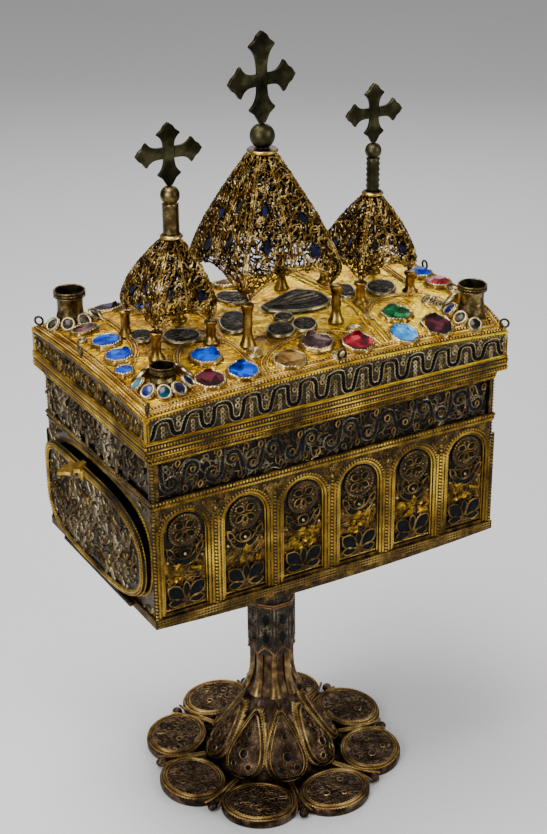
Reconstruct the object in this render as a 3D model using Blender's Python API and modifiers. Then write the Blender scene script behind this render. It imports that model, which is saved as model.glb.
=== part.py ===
"""Reliquary casket: a gilt filigree box on a stem and lobed foot, with a lift-off lid
that carries three canopies topped by crosses, and a drop door in its left end."""
import math

import bmesh
import bpy
from mathutils import Matrix, Vector

COLLECTION = "reliquary_casket"
GAP = 0.0003            # play between pieces that touch

# Box: x runs along the front, y from front to back
BODY_W = 0.220
BODY_D = 0.139
BODY_BOTTOM = 0.162
BODY_TOP = 0.2651
WALL = 0.002
RELIEF = 0.0016         # how far pilasters and courses stand off the panels
CORNER_R = 0.0030
POST = 0.0042           # width of the corner posts
BASE_TOP = 0.1672
BASE_PROUD = 0.0012
BOTTOM_SAG = 0.0035
ROPE_COURSE = (0.2328, 0.2378)
ROPE_PROUD = 0.0005
TOP_COURSE = (0.2592, BODY_TOP - 0.0016)
TOP_PROUD = 0.0003
FLOOR_TOP = 0.1644      # upper side of the box's floor

# Arcade
ARCH_PITCH = 0.0366
ARCH_HALF = 0.0134
ARCH_FOOT = 0.1690
ARCH_SPRING = 0.2150
ARCH_STEPS = 6
FRONT_ARCHES = 6
END_ARCHES = 3
END_PITCH = 0.0405
ROUNDEL_Z = 0.2168
ROUNDEL_R = 0.0095
ROUNDEL_RISE = 0.0009
PALMETTE_Z = 0.1705
PALMETTE_H = 0.0150
PALMETTE_RISE = 0.0008

# Door in the left end
DOOR_HALF_W = 0.0645
DOOR_BOTTOM = 0.1662
DOOR_TOP = 0.2255
DOOR_OUTER_X = -0.1146
DOOR_T = 0.0026
DOOR_ROUND = 2.6        # exponent of its rounded outline
DOOR_ROUND_BACK = (6.5, 3.4)    # the same towards the back, for the upper and lower corner
OPENING_HALF_W = 0.0645
OPENING = (0.1690, 0.2298)
HINGE_X = -0.1133
HINGE_Z = 0.1650
KNUCKLE_R = 0.0015
KNUCKLE_HALF = 0.030
KNUCKLE_END = 0.044
DOOR_RIM = 0.0042       # width of the raised rim round the door's panel
DOOR_SUNK = 0.0009      # depth of that panel
# Half outline of the catch: reach out from the door, half width
CLASP_HALF = ((0.0000, 0.0022), (0.0050, 0.0022), (0.0062, 0.0062), (0.0092, 0.0036),
              (0.0118, 0.0056), (0.0140, 0.0022), (0.0172, 0.0000))
CLASP_T = 0.0022
CLASP_Y = 0.0120
CLASP_ROOT_X = DOOR_OUTER_X + 0.0030
CLASP_Z = DOOR_TOP + 0.0016
CLASP_DROOP = -8.0      # degrees

# Lid
LID_W = 0.228
LID_D = 0.147
LID_BOTTOM = 0.2654
LID_EDGE = 0.2880       # top edge at the corners
CROWN_X = 0.0045        # rise of the long edges in their middle
CROWN_LEFT = 0.0030     # rise of the left edge in its middle
CROWN_RIGHT = 0.0125    # rise of the right edge, which is bent up further
PILLOW = 0.0022         # further rise of the top's middle
LID_WALL = 0.0020
FRIEZE_SUNK = 0.0013    # depth of the rim's frieze behind its mouldings
LID_LEDGE = 0.0025      # how far the rim reaches in over the box's edge
LID_LEDGE_T = 0.0040
# Lines of the rim: how far each stands out of the outline, and its height. The first
# hang from the crowned top edge, the others are level above the rim's lower edge
RIM_HUNG = ((0.0, 0.0026), (-FRIEZE_SUNK, 0.0034))
RIM_LEVEL = ((-FRIEZE_SUNK, 0.0086), (0.0, 0.0074), (0.0, 0.0042), (-0.0008, 0.0038),
             (0.0, 0.0034), (0.0, 0.0))

# Foot and stem
FOOT_LOBES = 8
FOOT_TURN = math.radians(7.5)
LOBE_CENTRE_R = 0.0622
LOBE_RADIAL = 0.0192
LOBE_ACROSS = 0.0232
LOBE_H = 0.0052
DISC_R = 0.0660         # flat disc under the lobes
DISC_H = 0.0040
NOTCH_R = 0.0680        # long beads in the notches between lobes
NOTCH_Z = 0.0026
NOTCH_SIZE = (0.0075, 0.0034, 0.0022)
DOME = ((0.0410, 0.0020), (0.0395, 0.0100), (0.0335, 0.0210), (0.0255, 0.0320),
        (0.0180, 0.0425), (0.0150, 0.0500))
DOME_FLUTE = 0.07
# Collar: radius and height of its bars, from the top down
COLLAR = ((0.0128, 0.0780), (0.0128, 0.0640), (0.0140, 0.0570), (0.0178, 0.0503))
COLLAR_HOLLOW = 0.86    # radius between two bars, against that of the bars
SLEEVE = (0.0783, 0.1582)
STEM_R = 0.0139
# Sleeve: how far each line stands out of the tube, and its height above the tube's foot
SLEEVE_BANDS = ((0.0016, 0.0799), (0.0016, 0.0769), (-0.0004, 0.0761), (-0.0004, 0.0340),
                (0.0006, 0.0330), (0.0006, 0.0030), (-0.0002, 0.0))

# Canopies: name, centre, half spacing of the columns, height of the columns' tops,
# height of the collar, lean of the top, swell of the sides
CANOPIES = (
    ("left", (-0.0640, -0.0015), (0.0165, 0.0192), 0.3105, 0.3535, 0.0042, 1.55),
    ("centre", (-0.0050, -0.0055), (0.0280, 0.0300), 0.3218, 0.3935, -0.0006, 1.25),
    ("right", (0.0655, -0.0010), (0.0170, 0.0195), 0.3140, 0.3565, 0.0030, 1.45),
)
COLUMN_CAP_R = 0.0037
COLUMN_WAIST_R = 0.0025
COLUMN_FOOT_R = 0.0046
CANOPY_WALL = 0.0012
CANOPY_OUT = 0.0016     # how far the tent's corners stand outside the column axes
FINIAL_COLLAR_H = 0.0022
FINIAL_TUBE_FOOT = 0.0024
# Finials: collar radius, tube radius, tube length, ball radius
FINIALS = {
    "left": (0.0062, 0.0046, 0.0165, 0.0053),
    "centre": (0.0086, 0.0048, 0.0002, 0.0069),
    "right": (0.0062, 0.0040, 0.0190, 0.0047),
}
# Crosses: half width, reach up and down, arm width, cusp width, turn about the upright
CROSSES = {
    "left": (0.0193, 0.0160, 0.0176, 0.0074, 0.0136, 0.0),
    "centre": (0.0222, 0.0256, 0.0232, 0.0080, 0.0172, 8.0),
    "right": (0.0187, 0.0164, 0.0168, 0.0070, 0.0130, 2.0),
}
CROSS_T = 0.0022

# Sockets: name, place, radius of the mouth and of the drum, height
SOCKETS = (
    ("front_left", -0.0900, -0.0470, 0.0070, 0.0062, 0.0106),
    ("back_left", -0.0930, 0.0648, 0.0092, 0.0076, 0.0190),
    ("front_right", 0.1005, -0.0560, 0.0084, 0.0070, 0.0172),
    ("back_right", 0.0960, 0.0600, 0.0084, 0.0070, 0.0165),
)
SOCKET_WALL = 0.0010
SOCKET_FLOOR = 0.0030
SOCKET_BAND = 0.0034    # height of the band round the mouth
SOCKET_FOOT = 0.0008    # how far the foot ring stands out of the drum
SOCKET_ROOT = 0.0040    # length below the lid's surface before the foot is fitted to it

RING_R = 0.0024
RING_WIRE = 0.0006
# Hanging rings: name, place, turn of the ring's plane about the upright
RINGS = (
    ("front_left", -0.1105, -0.0700, 45.0), ("back_left", -0.1105, 0.0700, -45.0),
    ("front_right", 0.1122, -0.0717, -45.0), ("left_middle", -0.1110, 0.0110, 90.0),
    ("front_middle", 0.0048, -0.0708, 0.0), ("right_middle", 0.1112, 0.0060, 90.0),
)

# Stones: name, place, half sizes along x and y, height, turn, number of sides
STONES = (
    ("blue_front_1", -0.0590, -0.0360, 0.0078, 0.0088, 0.0030, 0, 8),
    ("blue_front_2", -0.0495, -0.0600, 0.0078, 0.0082, 0.0030, 0, 8),
    ("garnet_front_1", -0.0690, -0.0595, 0.0076, 0.0080, 0.0030, 0, 8),
    ("quartz_front", -0.0222, -0.0616, 0.0086, 0.0074, 0.0022, 0, 8),
    ("amethyst_front", 0.0000, -0.0530, 0.0088, 0.0080, 0.0042, 22.5, 8),
    ("ruby_front", 0.0206, -0.0618, 0.0086, 0.0078, 0.0032, 0, 8),
    ("emerald_right", 0.0568, -0.0450, 0.0088, 0.0080, 0.0030, 30, 6),
    ("turquoise_right", 0.0495, -0.0634, 0.0078, 0.0076, 0.0030, 0, 8),
    ("garnet_right", 0.0725, -0.0626, 0.0090, 0.0084, 0.0036, 30, 6),
    ("blue_left_1", -0.0932, 0.0160, 0.0076, 0.0080, 0.0030, 0, 8),
    ("blue_left_2", -0.0958, -0.0058, 0.0072, 0.0074, 0.0028, 0, 8),
    ("blue_left_3", -0.1015, -0.0240, 0.0046, 0.0050, 0.0018, 0, 6),
    ("amethyst_left", -0.0952, 0.0408, 0.0074, 0.0060, 0.0028, 0, 8),
    ("smoky_back", -0.0700, 0.0645, 0.0080, 0.0068, 0.0045, 0, 8),
    ("blue_back", -0.0535, 0.0470, 0.0074, 0.0070, 0.0030, 0, 8),
    ("quartz_back", 0.0030, 0.0520, 0.0084, 0.0070, 0.0026, 0, 8),
    ("blue_right", 0.1035, 0.0000, 0.0070, 0.0074, 0.0030, 0, 8),
    ("ruby_right", 0.1040, -0.0185, 0.0072, 0.0070, 0.0030, 0, 8),
)
BEZEL_RIM = 0.0011
BEZEL_H = 0.0013


def clear_scene():
    for item in list(bpy.data.objects):
        bpy.data.objects.remove(item, do_unlink=True)


def make_material(name, colour, metallic, roughness):
    material = bpy.data.materials.new(name)
    material.use_nodes = True
    shader = material.node_tree.nodes["Principled BSDF"]
    shader.inputs["Base Color"].default_value = (*colour, 1.0)
    shader.inputs["Metallic"].default_value = metallic
    shader.inputs["Roughness"].default_value = roughness
    material.diffuse_color = (*colour, 1.0)
    return material


def new_object(name, mesh, material=None):
    item = bpy.data.objects.new(name, mesh)
    parts.objects.link(item)
    if material is not None and not mesh.materials:
        mesh.materials.append(material)
    return item


def object_from(bm, name, material=None):
    bmesh.ops.recalc_face_normals(bm, faces=bm.faces)
    mesh = bpy.data.meshes.new(name)
    bm.to_mesh(mesh)
    bm.free()
    return new_object(name, mesh, material)


def solved(item):
    """The object's mesh with its modifiers worked out."""
    graph = bpy.context.evaluated_depsgraph_get()
    graph.update()
    return bpy.data.meshes.new_from_object(item.evaluated_get(graph))


def combine(base, tools, operation):
    """Joins or cuts the base with each tool in turn, and removes the tools."""
    for tool in tools:
        step = base.modifiers.new(operation.lower(), "BOOLEAN")
        step.operation = operation
        step.solver = "EXACT"
        step.object = tool
        result = solved(base)
        base.modifiers.clear()
        old = base.data
        base.data = result
        bpy.data.meshes.remove(old)
        bpy.data.objects.remove(tool, do_unlink=True)
    return base


def slab(width, depth, bottom, top, corner=0.0, centre=(0.0, 0.0)):
    """A block with rounded upright edges."""
    bm = bmesh.new()
    bmesh.ops.create_cube(bm, size=1.0)
    bmesh.ops.scale(bm, vec=(width, depth, top - bottom), verts=bm.verts)
    middle = (centre[0], centre[1], (top + bottom) / 2)
    bmesh.ops.translate(bm, vec=middle, verts=bm.verts)
    if corner:
        upright = [e for e in bm.edges if abs(e.verts[0].co.z - e.verts[1].co.z) > 1e-6]
        bmesh.ops.bevel(bm, geom=upright, offset=corner, segments=2, profile=0.5,
                        affect="EDGES")
    return object_from(bm, "slab")


def plate(outline, thickness, place):
    """A flat outline, extruded by its thickness and set in its place."""
    curve = bpy.data.curves.new("outline", "CURVE")
    curve.dimensions = "2D"
    curve.fill_mode = "BOTH"
    curve.extrude = thickness / 2
    spline = curve.splines.new("POLY")
    spline.points.add(len(outline) - 1)
    for point, (x, y) in zip(spline.points, outline):
        point.co = (x, y, 0.0, 1.0)
    spline.use_cyclic_u = True
    item = bpy.data.objects.new("outline", curve)
    parts.objects.link(item)
    bm = bmesh.new()
    bm.from_mesh(solved(item))
    bmesh.ops.remove_doubles(bm, verts=bm.verts, dist=1e-6)
    bmesh.ops.transform(bm, matrix=place, verts=bm.verts)
    bpy.data.objects.remove(item, do_unlink=True)
    return object_from(bm, "plate")


def cone(radius_low, radius_high, height, sides, place):
    bm = bmesh.new()
    bmesh.ops.create_cone(bm, cap_ends=True, segments=sides, radius1=radius_low,
                          radius2=radius_high, depth=height, matrix=place)
    return object_from(bm, "cone")


def turned(name, profile, sides, material, smooth=True):
    """A turned piece: its profile runs down the outer side, from axis to axis."""
    mesh = bpy.data.meshes.new(name)
    edges = [(i, i + 1) for i in range(len(profile) - 1)]
    mesh.from_pydata([(r, 0.0, z) for r, z in profile], edges, [])
    item = new_object(name, mesh, material)
    screw = item.modifiers.new("turn", "SCREW")
    screw.axis = "Z"
    screw.steps = sides
    screw.render_steps = sides
    screw.use_merge_vertices = True
    screw.merge_threshold = 0.00001
    screw.use_smooth_shade = smooth
    return item


# Shapes of the lid and of rounded outlines

def lid_top(x, y):
    """Height of the lid's gently pillowed top."""
    u = min(1.0, abs(x) / (LID_W / 2))
    v = min(1.0, abs(y) / (LID_D / 2))
    right = min(1.0, max(0.0, x / LID_W + 0.5)) ** 2
    crown = CROWN_LEFT * (1 - right) * (1 - v ** 2) + CROWN_RIGHT * right * (1 - v ** 4)
    return LID_EDGE + CROWN_X * (1 - u ** 2) + crown + PILLOW * (1 - u ** 4) * (1 - v ** 4)


def seat(x, y, lift=0.0):
    """A frame on the lid's top whose z axis stands square to the surface."""
    step = 0.002
    along = Vector((2 * step, 0, lid_top(x + step, y) - lid_top(x - step, y)))
    across = Vector((0, 2 * step, lid_top(x, y + step) - lid_top(x, y - step)))
    up = along.cross(across).normalized()
    turn = Vector((0, 0, 1)).rotation_difference(up).to_matrix().to_4x4()
    return Matrix.Translation(Vector((x, y, lid_top(x, y))) + up * lift) @ turn


def rounded_outline(half_w, half_h, power, count, back=None):
    """An oval squared off by its power, or by two others at its corners towards the back."""
    points = []
    for i in range(count):
        angle = 2 * math.pi * (i + 0.5) / count
        c, s = math.cos(angle), math.sin(angle)
        bend = back[0 if s > 0 else 1] if back and c > 0 else power
        points.append((half_w * math.copysign(abs(c) ** (2 / bend), c),
                       half_h * math.copysign(abs(s) ** (2 / bend), s)))
    return points


def arch_outline(half, foot, spring, steps):
    top = [(half * math.cos(math.pi * i / steps), spring + half * math.sin(math.pi * i / steps))
           for i in range(steps + 1)]
    return [(-half, foot), (half, foot)] + top


UPRIGHT_FRONT = Matrix.Rotation(math.radians(90), 4, "X")      # outline y becomes z
UPRIGHT_END = Matrix.Rotation(math.radians(90), 4, "Z") @ UPRIGHT_FRONT


def arch_offsets(count, pitch):
    return [(i - (count - 1) / 2) * pitch for i in range(count)]


# Casket body

def palmette_outline(height):
    """A three-leaved palmette as a fan of pointed leaves over a short foot."""
    points = [(-0.25 * height, 0.0)]
    leaves = 3
    for leaf in range(leaves):
        for tip, reach in ((-0.30, 0.72), (0.0, 1.0), (0.30, 0.72)):
            angle = math.pi * (leaf + 0.5 + tip) / leaves
            points.append((-reach * height * 0.72 * math.cos(angle),
                           reach * height * math.sin(angle) * 0.95 + 0.05 * height))
        if leaf < leaves - 1:
            angle = math.pi * (leaf + 1) / leaves
            points.append((-0.38 * height * math.cos(angle), 0.42 * height * math.sin(angle)))
    points.append((0.25 * height, 0.0))
    return points[::-1]


def base_course():
    """The flat band round the bottom, whose underside sags a little in its middle."""
    bm = bmesh.new()
    bmesh.ops.create_grid(bm, x_segments=8, y_segments=1, size=0.5)
    width = BODY_W + 2 * BASE_PROUD
    bmesh.ops.scale(bm, vec=(width, BODY_D + 2 * BASE_PROUD, 1), verts=bm.verts)
    lower = list(bm.verts)
    upper = bmesh.ops.extrude_face_region(bm, geom=list(bm.faces))["geom"]
    for vert in upper:
        if isinstance(vert, bmesh.types.BMVert):
            vert.co.z = BASE_TOP
    for vert in lower:
        vert.co.z = BODY_BOTTOM - BOTTOM_SAG * (1 - (2 * vert.co.x / width) ** 2)
    return object_from(bm, "base")


def arch_niches():
    """Cutters for the arches: six in front and behind, three in the right end."""
    outline = arch_outline(ARCH_HALF, ARCH_FOOT, ARCH_SPRING, ARCH_STEPS)
    cutters = []
    for x in arch_offsets(FRONT_ARCHES, ARCH_PITCH):
        for side in (-1, 1):
            place = Matrix.Translation((x, side * BODY_D / 2, 0)) @ UPRIGHT_FRONT
            cutters.append(plate(outline, 2 * RELIEF, place))
    for y in arch_offsets(END_ARCHES, END_PITCH):
        place = Matrix.Translation((BODY_W / 2, y, 0)) @ UPRIGHT_END
        cutters.append(plate(outline, 2 * RELIEF, place))
    return cutters


def band_niches():
    """Cutters for the scroll band between the two courses, stopping at the corner posts."""
    bottom, top = ROPE_COURSE[1], TOP_COURSE[0]
    cutters = []
    for side in (-1, 1):
        cutters.append(slab(BODY_W - 2 * POST, 2 * RELIEF, bottom, top,
                            centre=(0, side * BODY_D / 2)))
        cutters.append(slab(2 * RELIEF, BODY_D - 2 * POST, bottom, top,
                            centre=(side * BODY_W / 2, 0)))
    return cutters


def arch_fillings():
    """The roundel and palmette that stand in each arch of the front."""
    fillings = []
    face = BODY_D / 2 - RELIEF
    for x in arch_offsets(FRONT_ARCHES, ARCH_PITCH):
        place = Matrix.Translation((x, -face, ROUNDEL_Z)) @ UPRIGHT_FRONT
        fillings.append(cone(ROUNDEL_R, ROUNDEL_R, 2 * ROUNDEL_RISE, 10, place))
        place = Matrix.Translation((x, -face, PALMETTE_Z)) @ UPRIGHT_FRONT
        fillings.append(plate(palmette_outline(PALMETTE_H), 2 * PALMETTE_RISE, place))
    return fillings


def body_knuckles():
    """The fixed outer knuckles of the door's hinge, each on a short lug."""
    pieces = []
    length = KNUCKLE_END - KNUCKLE_HALF - GAP
    for side in (-1, 1):
        y = side * (KNUCKLE_HALF + GAP + length / 2)
        turn = Matrix.Rotation(math.radians(90), 4, "X")
        pieces.append(cone(KNUCKLE_R, KNUCKLE_R, length, 8,
                           Matrix.Translation((HINGE_X, y, HINGE_Z)) @ turn))
        pieces.append(slab(0.0030, length * 0.98, HINGE_Z - 0.0009, HINGE_Z + 0.0009,
                           centre=(HINGE_X + 0.0015, y)))
    return pieces


def build_body():
    core = slab(BODY_W, BODY_D, BODY_BOTTOM + 0.0006, BODY_TOP, CORNER_R)
    courses = [
        base_course(),
        slab(BODY_W + 2 * ROPE_PROUD, BODY_D + 2 * ROPE_PROUD, *ROPE_COURSE, CORNER_R),
        slab(BODY_W + 2 * TOP_PROUD, BODY_D + 2 * TOP_PROUD, *TOP_COURSE, CORNER_R),
    ]
    combine(core, courses, "UNION")
    combine(core, arch_niches() + band_niches(), "DIFFERENCE")
    combine(core, arch_fillings() + body_knuckles(), "UNION")
    inside = slab(BODY_W - 2 * (RELIEF + WALL), BODY_D - 2 * (RELIEF + WALL),
                  FLOOR_TOP, BODY_TOP + 0.01)
    middle = sum(OPENING) / 2
    opening = plate(rounded_outline(OPENING_HALF_W, (OPENING[1] - OPENING[0]) / 2, 3.0, 28), 0.03,
                    Matrix.Translation((-BODY_W / 2, 0, middle)) @ UPRIGHT_END)
    combine(core, [inside, opening], "DIFFERENCE")
    core.name = "casket_body"
    core.data.materials.append(filigree)
    return core


def build_door():
    middle = (DOOR_TOP + DOOR_BOTTOM) / 2
    outline = rounded_outline(DOOR_HALF_W, (DOOR_TOP - DOOR_BOTTOM) / 2, DOOR_ROUND, 24,
                              DOOR_ROUND_BACK)
    place = Matrix.Translation((DOOR_OUTER_X + DOOR_T / 2, 0, middle)) @ UPRIGHT_END
    door = plate(outline, DOOR_T, place)
    inner = rounded_outline(DOOR_HALF_W - DOOR_RIM, (DOOR_TOP - DOOR_BOTTOM) / 2 - DOOR_RIM,
                            DOOR_ROUND, 24, DOOR_ROUND_BACK)
    panel = plate(inner, 2 * DOOR_SUNK,
                  Matrix.Translation((DOOR_OUTER_X, 0, middle)) @ UPRIGHT_END)
    combine(door, [panel], "DIFFERENCE")
    knuckle = cone(KNUCKLE_R, KNUCKLE_R, 2 * KNUCKLE_HALF, 8,
                   Matrix.Translation((HINGE_X, 0, HINGE_Z)) @ UPRIGHT_FRONT)
    leaf = slab(0.0020, 2 * KNUCKLE_HALF * 0.98, HINGE_Z + 0.0004, DOOR_BOTTOM + 0.0022,
                centre=(HINGE_X + 0.00005, 0))
    combine(door, [knuckle, leaf], "UNION")
    door.name = "end_door"
    door.data.materials.append(filigree)
    return door


def build_clasp():
    """A brass leaf-shaped catch that stands out over the door's upper edge."""
    outline = [(-x, -y) for x, y in CLASP_HALF] + [(-x, y) for x, y in CLASP_HALF[-2::-1]]
    lean = Matrix.Rotation(math.radians(CLASP_DROOP), 4, "Y")
    clasp = plate(outline, CLASP_T, Matrix.Translation((CLASP_ROOT_X, CLASP_Y, CLASP_Z)) @ lean)
    clasp.name = "door_clasp"
    clasp.data.materials.append(brass)
    return clasp


# Lid

def build_lid():
    """Pillowed top on an upright rim with a frieze and a moulded lower edge."""
    bm = bmesh.new()
    bmesh.ops.create_grid(bm, x_segments=10, y_segments=8, size=0.5)
    for vert in bm.verts:
        vert.co.x *= LID_W
        vert.co.y = math.sin(math.pi * vert.co.y) * LID_D / 2      # closer rows at the edges
        vert.co.z = lid_top(vert.co.x, vert.co.y)
    rim = [e for e in bm.edges if e.is_boundary]
    outline = {}
    for edge in rim:
        for vert in edge.verts:
            outline[vert] = (vert.co.x, vert.co.y, vert.co.z)
    for index, (proud, height) in enumerate(RIM_HUNG + RIM_LEVEL):
        made = bmesh.ops.extrude_edge_only(bm, edges=rim)["geom"]
        rim = [g for g in made if isinstance(g, bmesh.types.BMEdge)]
        fresh = {g for g in made if isinstance(g, bmesh.types.BMVert)}
        matched = {}
        for vert in fresh:
            source = next(e.other_vert(vert) for e in vert.link_edges
                          if e.other_vert(vert) in outline)
            matched[vert] = outline[source]
        outline = matched
        for vert, (x, y, z) in outline.items():
            vert.co.x = x + proud * math.copysign(1, x) if abs(x) > LID_W / 2 - 1e-5 else x
            vert.co.y = y + proud * math.copysign(1, y) if abs(y) > LID_D / 2 - 1e-5 else y
            vert.co.z = z - height if index < len(RIM_HUNG) else LID_BOTTOM + height
    bmesh.ops.edgeloop_fill(bm, edges=rim)
    lid = object_from(bm, "lid")

    bm = bmesh.new()
    bmesh.ops.create_grid(bm, x_segments=5, y_segments=4, size=0.5)
    inset = 2 * (FRIEZE_SUNK + LID_WALL)
    bmesh.ops.scale(bm, vec=(LID_W - inset, LID_D - inset, 1), verts=bm.verts)
    upper = list(bm.verts)
    lower = bmesh.ops.extrude_face_region(bm, geom=list(bm.faces))["geom"]
    for vert in upper:
        vert.co.z = lid_top(vert.co.x, vert.co.y) - LID_WALL - 0.0006
    for vert in lower:
        if isinstance(vert, bmesh.types.BMVert):
            vert.co.z = LID_BOTTOM + LID_LEDGE_T
    mouth = slab(BODY_W - 2 * LID_LEDGE, BODY_D - 2 * LID_LEDGE,
                 LID_BOTTOM - 0.01, LID_BOTTOM + LID_LEDGE_T + 0.005)
    combine(lid, [object_from(bm, "hollow"), mouth], "DIFFERENCE")
    combine(lid, [bezel(stone) for stone in STONES], "UNION")
    lid.name = "lid"
    lid.data.materials.append(gilt)
    return lid


def bezel(stone):
    """The raised setting under a stone, soldered to the lid."""
    _, x, y, half_x, half_y, _, turn, sides = stone
    wide = Matrix.Diagonal((half_x + BEZEL_RIM, half_y + BEZEL_RIM, 1, 1))
    place = seat(x, y, (BEZEL_H - 0.0012) / 2) @ wide @ Matrix.Rotation(math.radians(turn), 4, "Z")
    return cone(1.0, 0.97, BEZEL_H + 0.0012, sides, place)


def build_stone(stone):
    name, x, y, half_x, half_y, height, turn, sides = stone
    wide = Matrix.Diagonal((half_x, half_y, 1, 1))
    spin = Matrix.Rotation(math.radians(turn), 4, "Z")
    bm = bmesh.new()
    foot = BEZEL_H + GAP
    bmesh.ops.create_cone(bm, cap_ends=True, segments=sides, radius1=1.0, radius2=0.96,
                          depth=0.0010, matrix=seat(x, y, foot + 0.0005) @ wide @ spin)
    top = max(bm.faces, key=lambda face: face.calc_center_median().z)
    crown = bmesh.ops.extrude_discrete_faces(bm, faces=[top])["faces"][0]
    centre = crown.calc_center_median()
    rise = seat(x, y).to_3x3() @ Vector((0, 0, height - 0.0010))
    for vert in crown.verts:
        vert.co = centre + (vert.co - centre) * 0.45 + rise
    bmesh.ops.remove_doubles(bm, verts=bm.verts, dist=1e-7)
    return object_from(bm, "stone_" + name, stone_material(name))


def stone_material(name):
    return stone_materials[name.split("_")[0]]


# Foot and stem

def foot_lobe(angle):
    """One oval roundel of the foot, with a bevelled upper edge."""
    place = (Matrix.Rotation(angle, 4, "Z") @ Matrix.Translation((LOBE_CENTRE_R, 0, LOBE_H / 2))
             @ Matrix.Diagonal((LOBE_RADIAL, LOBE_ACROSS, 1, 1)))
    bm = bmesh.new()
    bmesh.ops.create_cone(bm, cap_ends=True, segments=10, radius1=1.0, radius2=0.97,
                          depth=LOBE_H, matrix=place)
    top = max(bm.faces, key=lambda face: face.calc_center_median().z)
    bmesh.ops.inset_region(bm, faces=[top], thickness=0.0030, depth=0.0)
    for vert in top.verts:
        vert.co.z -= 0.0010
    return object_from(bm, "lobe")


def foot_dome():
    """The dome of pear-shaped swellings that stand over the notches between lobes."""
    bm = bmesh.new()
    sides = FOOT_LOBES * 4
    rings = []
    for level, (radius, z) in enumerate(DOME):
        swell = DOME_FLUTE * math.sin(math.pi * min(1.0, (level + 0.7) / len(DOME)))
        ring = []
        for i in range(sides):
            angle = FOOT_TURN + 2 * math.pi * i / sides
            wave = abs(math.sin(FOOT_LOBES / 2 * (angle - FOOT_TURN)))
            r = radius * (1 - swell + 2 * swell * wave ** 0.6)
            ring.append(bm.verts.new((r * math.cos(angle), r * math.sin(angle), z)))
        rings.append(ring)
    for low, high in zip(rings, rings[1:]):
        for i in range(sides):
            j = (i + 1) % sides
            bm.faces.new((low[i], low[j], high[j], high[i]))
    bm.faces.new(rings[0][::-1])
    bm.faces.new(rings[-1])
    return object_from(bm, "dome")


def build_foot():
    foot = cone(DISC_R, DISC_R - 0.0030, DISC_H, 2 * FOOT_LOBES,
                Matrix.Rotation(FOOT_TURN, 4, "Z") @ Matrix.Translation((0, 0, DISC_H / 2)))
    pieces = [foot_lobe(FOOT_TURN + 2 * math.pi * i / FOOT_LOBES) for i in range(FOOT_LOBES)]
    pieces.append(foot_dome())
    for i in range(FOOT_LOBES):
        angle = FOOT_TURN + 2 * math.pi * (i + 0.5) / FOOT_LOBES
        place = Matrix.Rotation(angle, 4, "Z") @ Matrix.Translation((NOTCH_R, 0, NOTCH_Z))
        bm = bmesh.new()
        bmesh.ops.create_uvsphere(bm, u_segments=6, v_segments=3, radius=1.0,
                                  matrix=place @ Matrix.Diagonal((*NOTCH_SIZE, 1)))
        pieces.append(object_from(bm, "ball"))
    combine(foot, pieces, "UNION")
    foot.name = "foot"
    foot.data.materials.append(filigree)
    return foot


def build_collar():
    """The gilt cage below the sleeve: eight bars that spread onto the dome."""
    bm = bmesh.new()
    sides = 16
    rings = []
    for radius, z in COLLAR:
        ring = []
        for i in range(sides):
            angle = 2 * math.pi * i / sides
            r = radius * (1.0 if i % 2 == 0 else COLLAR_HOLLOW)
            ring.append(bm.verts.new((r * math.cos(angle), r * math.sin(angle), z)))
        rings.append(ring)
    for high, low in zip(rings, rings[1:]):
        for i in range(sides):
            j = (i + 1) % sides
            bm.faces.new((low[i], low[j], high[j], high[i]))
    bm.faces.new(rings[-1][::-1])
    bm.faces.new(rings[0])
    return object_from(bm, "stem_collar", gilt)


def build_sleeve():
    """The eight-sided filigree tube between collar and box, banded in the middle."""
    low, high = SLEEVE
    wall = tuple((STEM_R + proud, low + height) for proud, height in SLEEVE_BANDS)
    return turned("stem_sleeve", ((0.0, high), *wall, (0.0, low)), 8, filigree, smooth=False)


# Canopies, columns, finials and crosses

def column_base(x, y):
    """Lowest clear height for a column's flared foot on the pillowed lid."""
    reach = COLUMN_FOOT_R
    ring = [lid_top(x + reach * math.cos(k), y + reach * math.sin(k))
            for k in (0, 0.8, 1.6, 2.4, 3.2, 4.0, 4.8, 5.6)]
    return max(ring) + GAP


def column_profile(height):
    return ((0.0, height), (COLUMN_CAP_R, height), (COLUMN_WAIST_R, height * 0.60),
            (COLUMN_FOOT_R, 0.0), (0.0, 0.0))


def canopy_half(t, swell):
    """Half size of the tent at height t (0 at the corner tips, 1 at the collar)."""
    waist = 0.14
    if t < waist:
        return 0.88 + 0.12 * math.sin(t / waist * math.pi / 2)
    return 1 - ((t - waist) / (1 - waist)) ** swell


def build_canopy(name, centre, half, low, high, collar_r, lean, swell):
    """A four-sided tent of wirework, arched between its corners and swelling low down."""
    across = 6
    levels = (0.0, 0.16, 0.52, 1.0)
    bm = bmesh.new()
    rows = []
    rise = 0.20
    for level in levels:
        row = []
        for side in range(4):
            for i in range(across):
                s = -1 + 2 * i / across
                start = rise * (1 - abs(s) ** 2.2)
                t = start + (1 - start) * level
                size = canopy_half(t, swell)
                bow = 1 + 0.10 * (1 - s * s) * (1 - t)
                width = (half[0] + CANOPY_OUT) * size + collar_r * t * 0.70
                depth = (half[1] + CANOPY_OUT) * size + collar_r * t * 0.70
                x, y = ((s, -bow), (bow, s), (-s, bow), (-bow, -s))[side]
                row.append(bm.verts.new((centre[0] + x * width + lean * t, centre[1] + y * depth,
                                         low + t * (high - low))))
        rows.append(row)
    count = 4 * across
    for lower, upper in zip(rows, rows[1:]):
        for i in range(count):
            j = (i + 1) % count
            bm.faces.new((lower[i], lower[j], upper[j], upper[i]))
    canopy = object_from(bm, name, filigree)
    shell = canopy.modifiers.new("wall", "SOLIDIFY")
    shell.thickness = CANOPY_WALL
    shell.offset = -1.0
    return canopy


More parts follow.
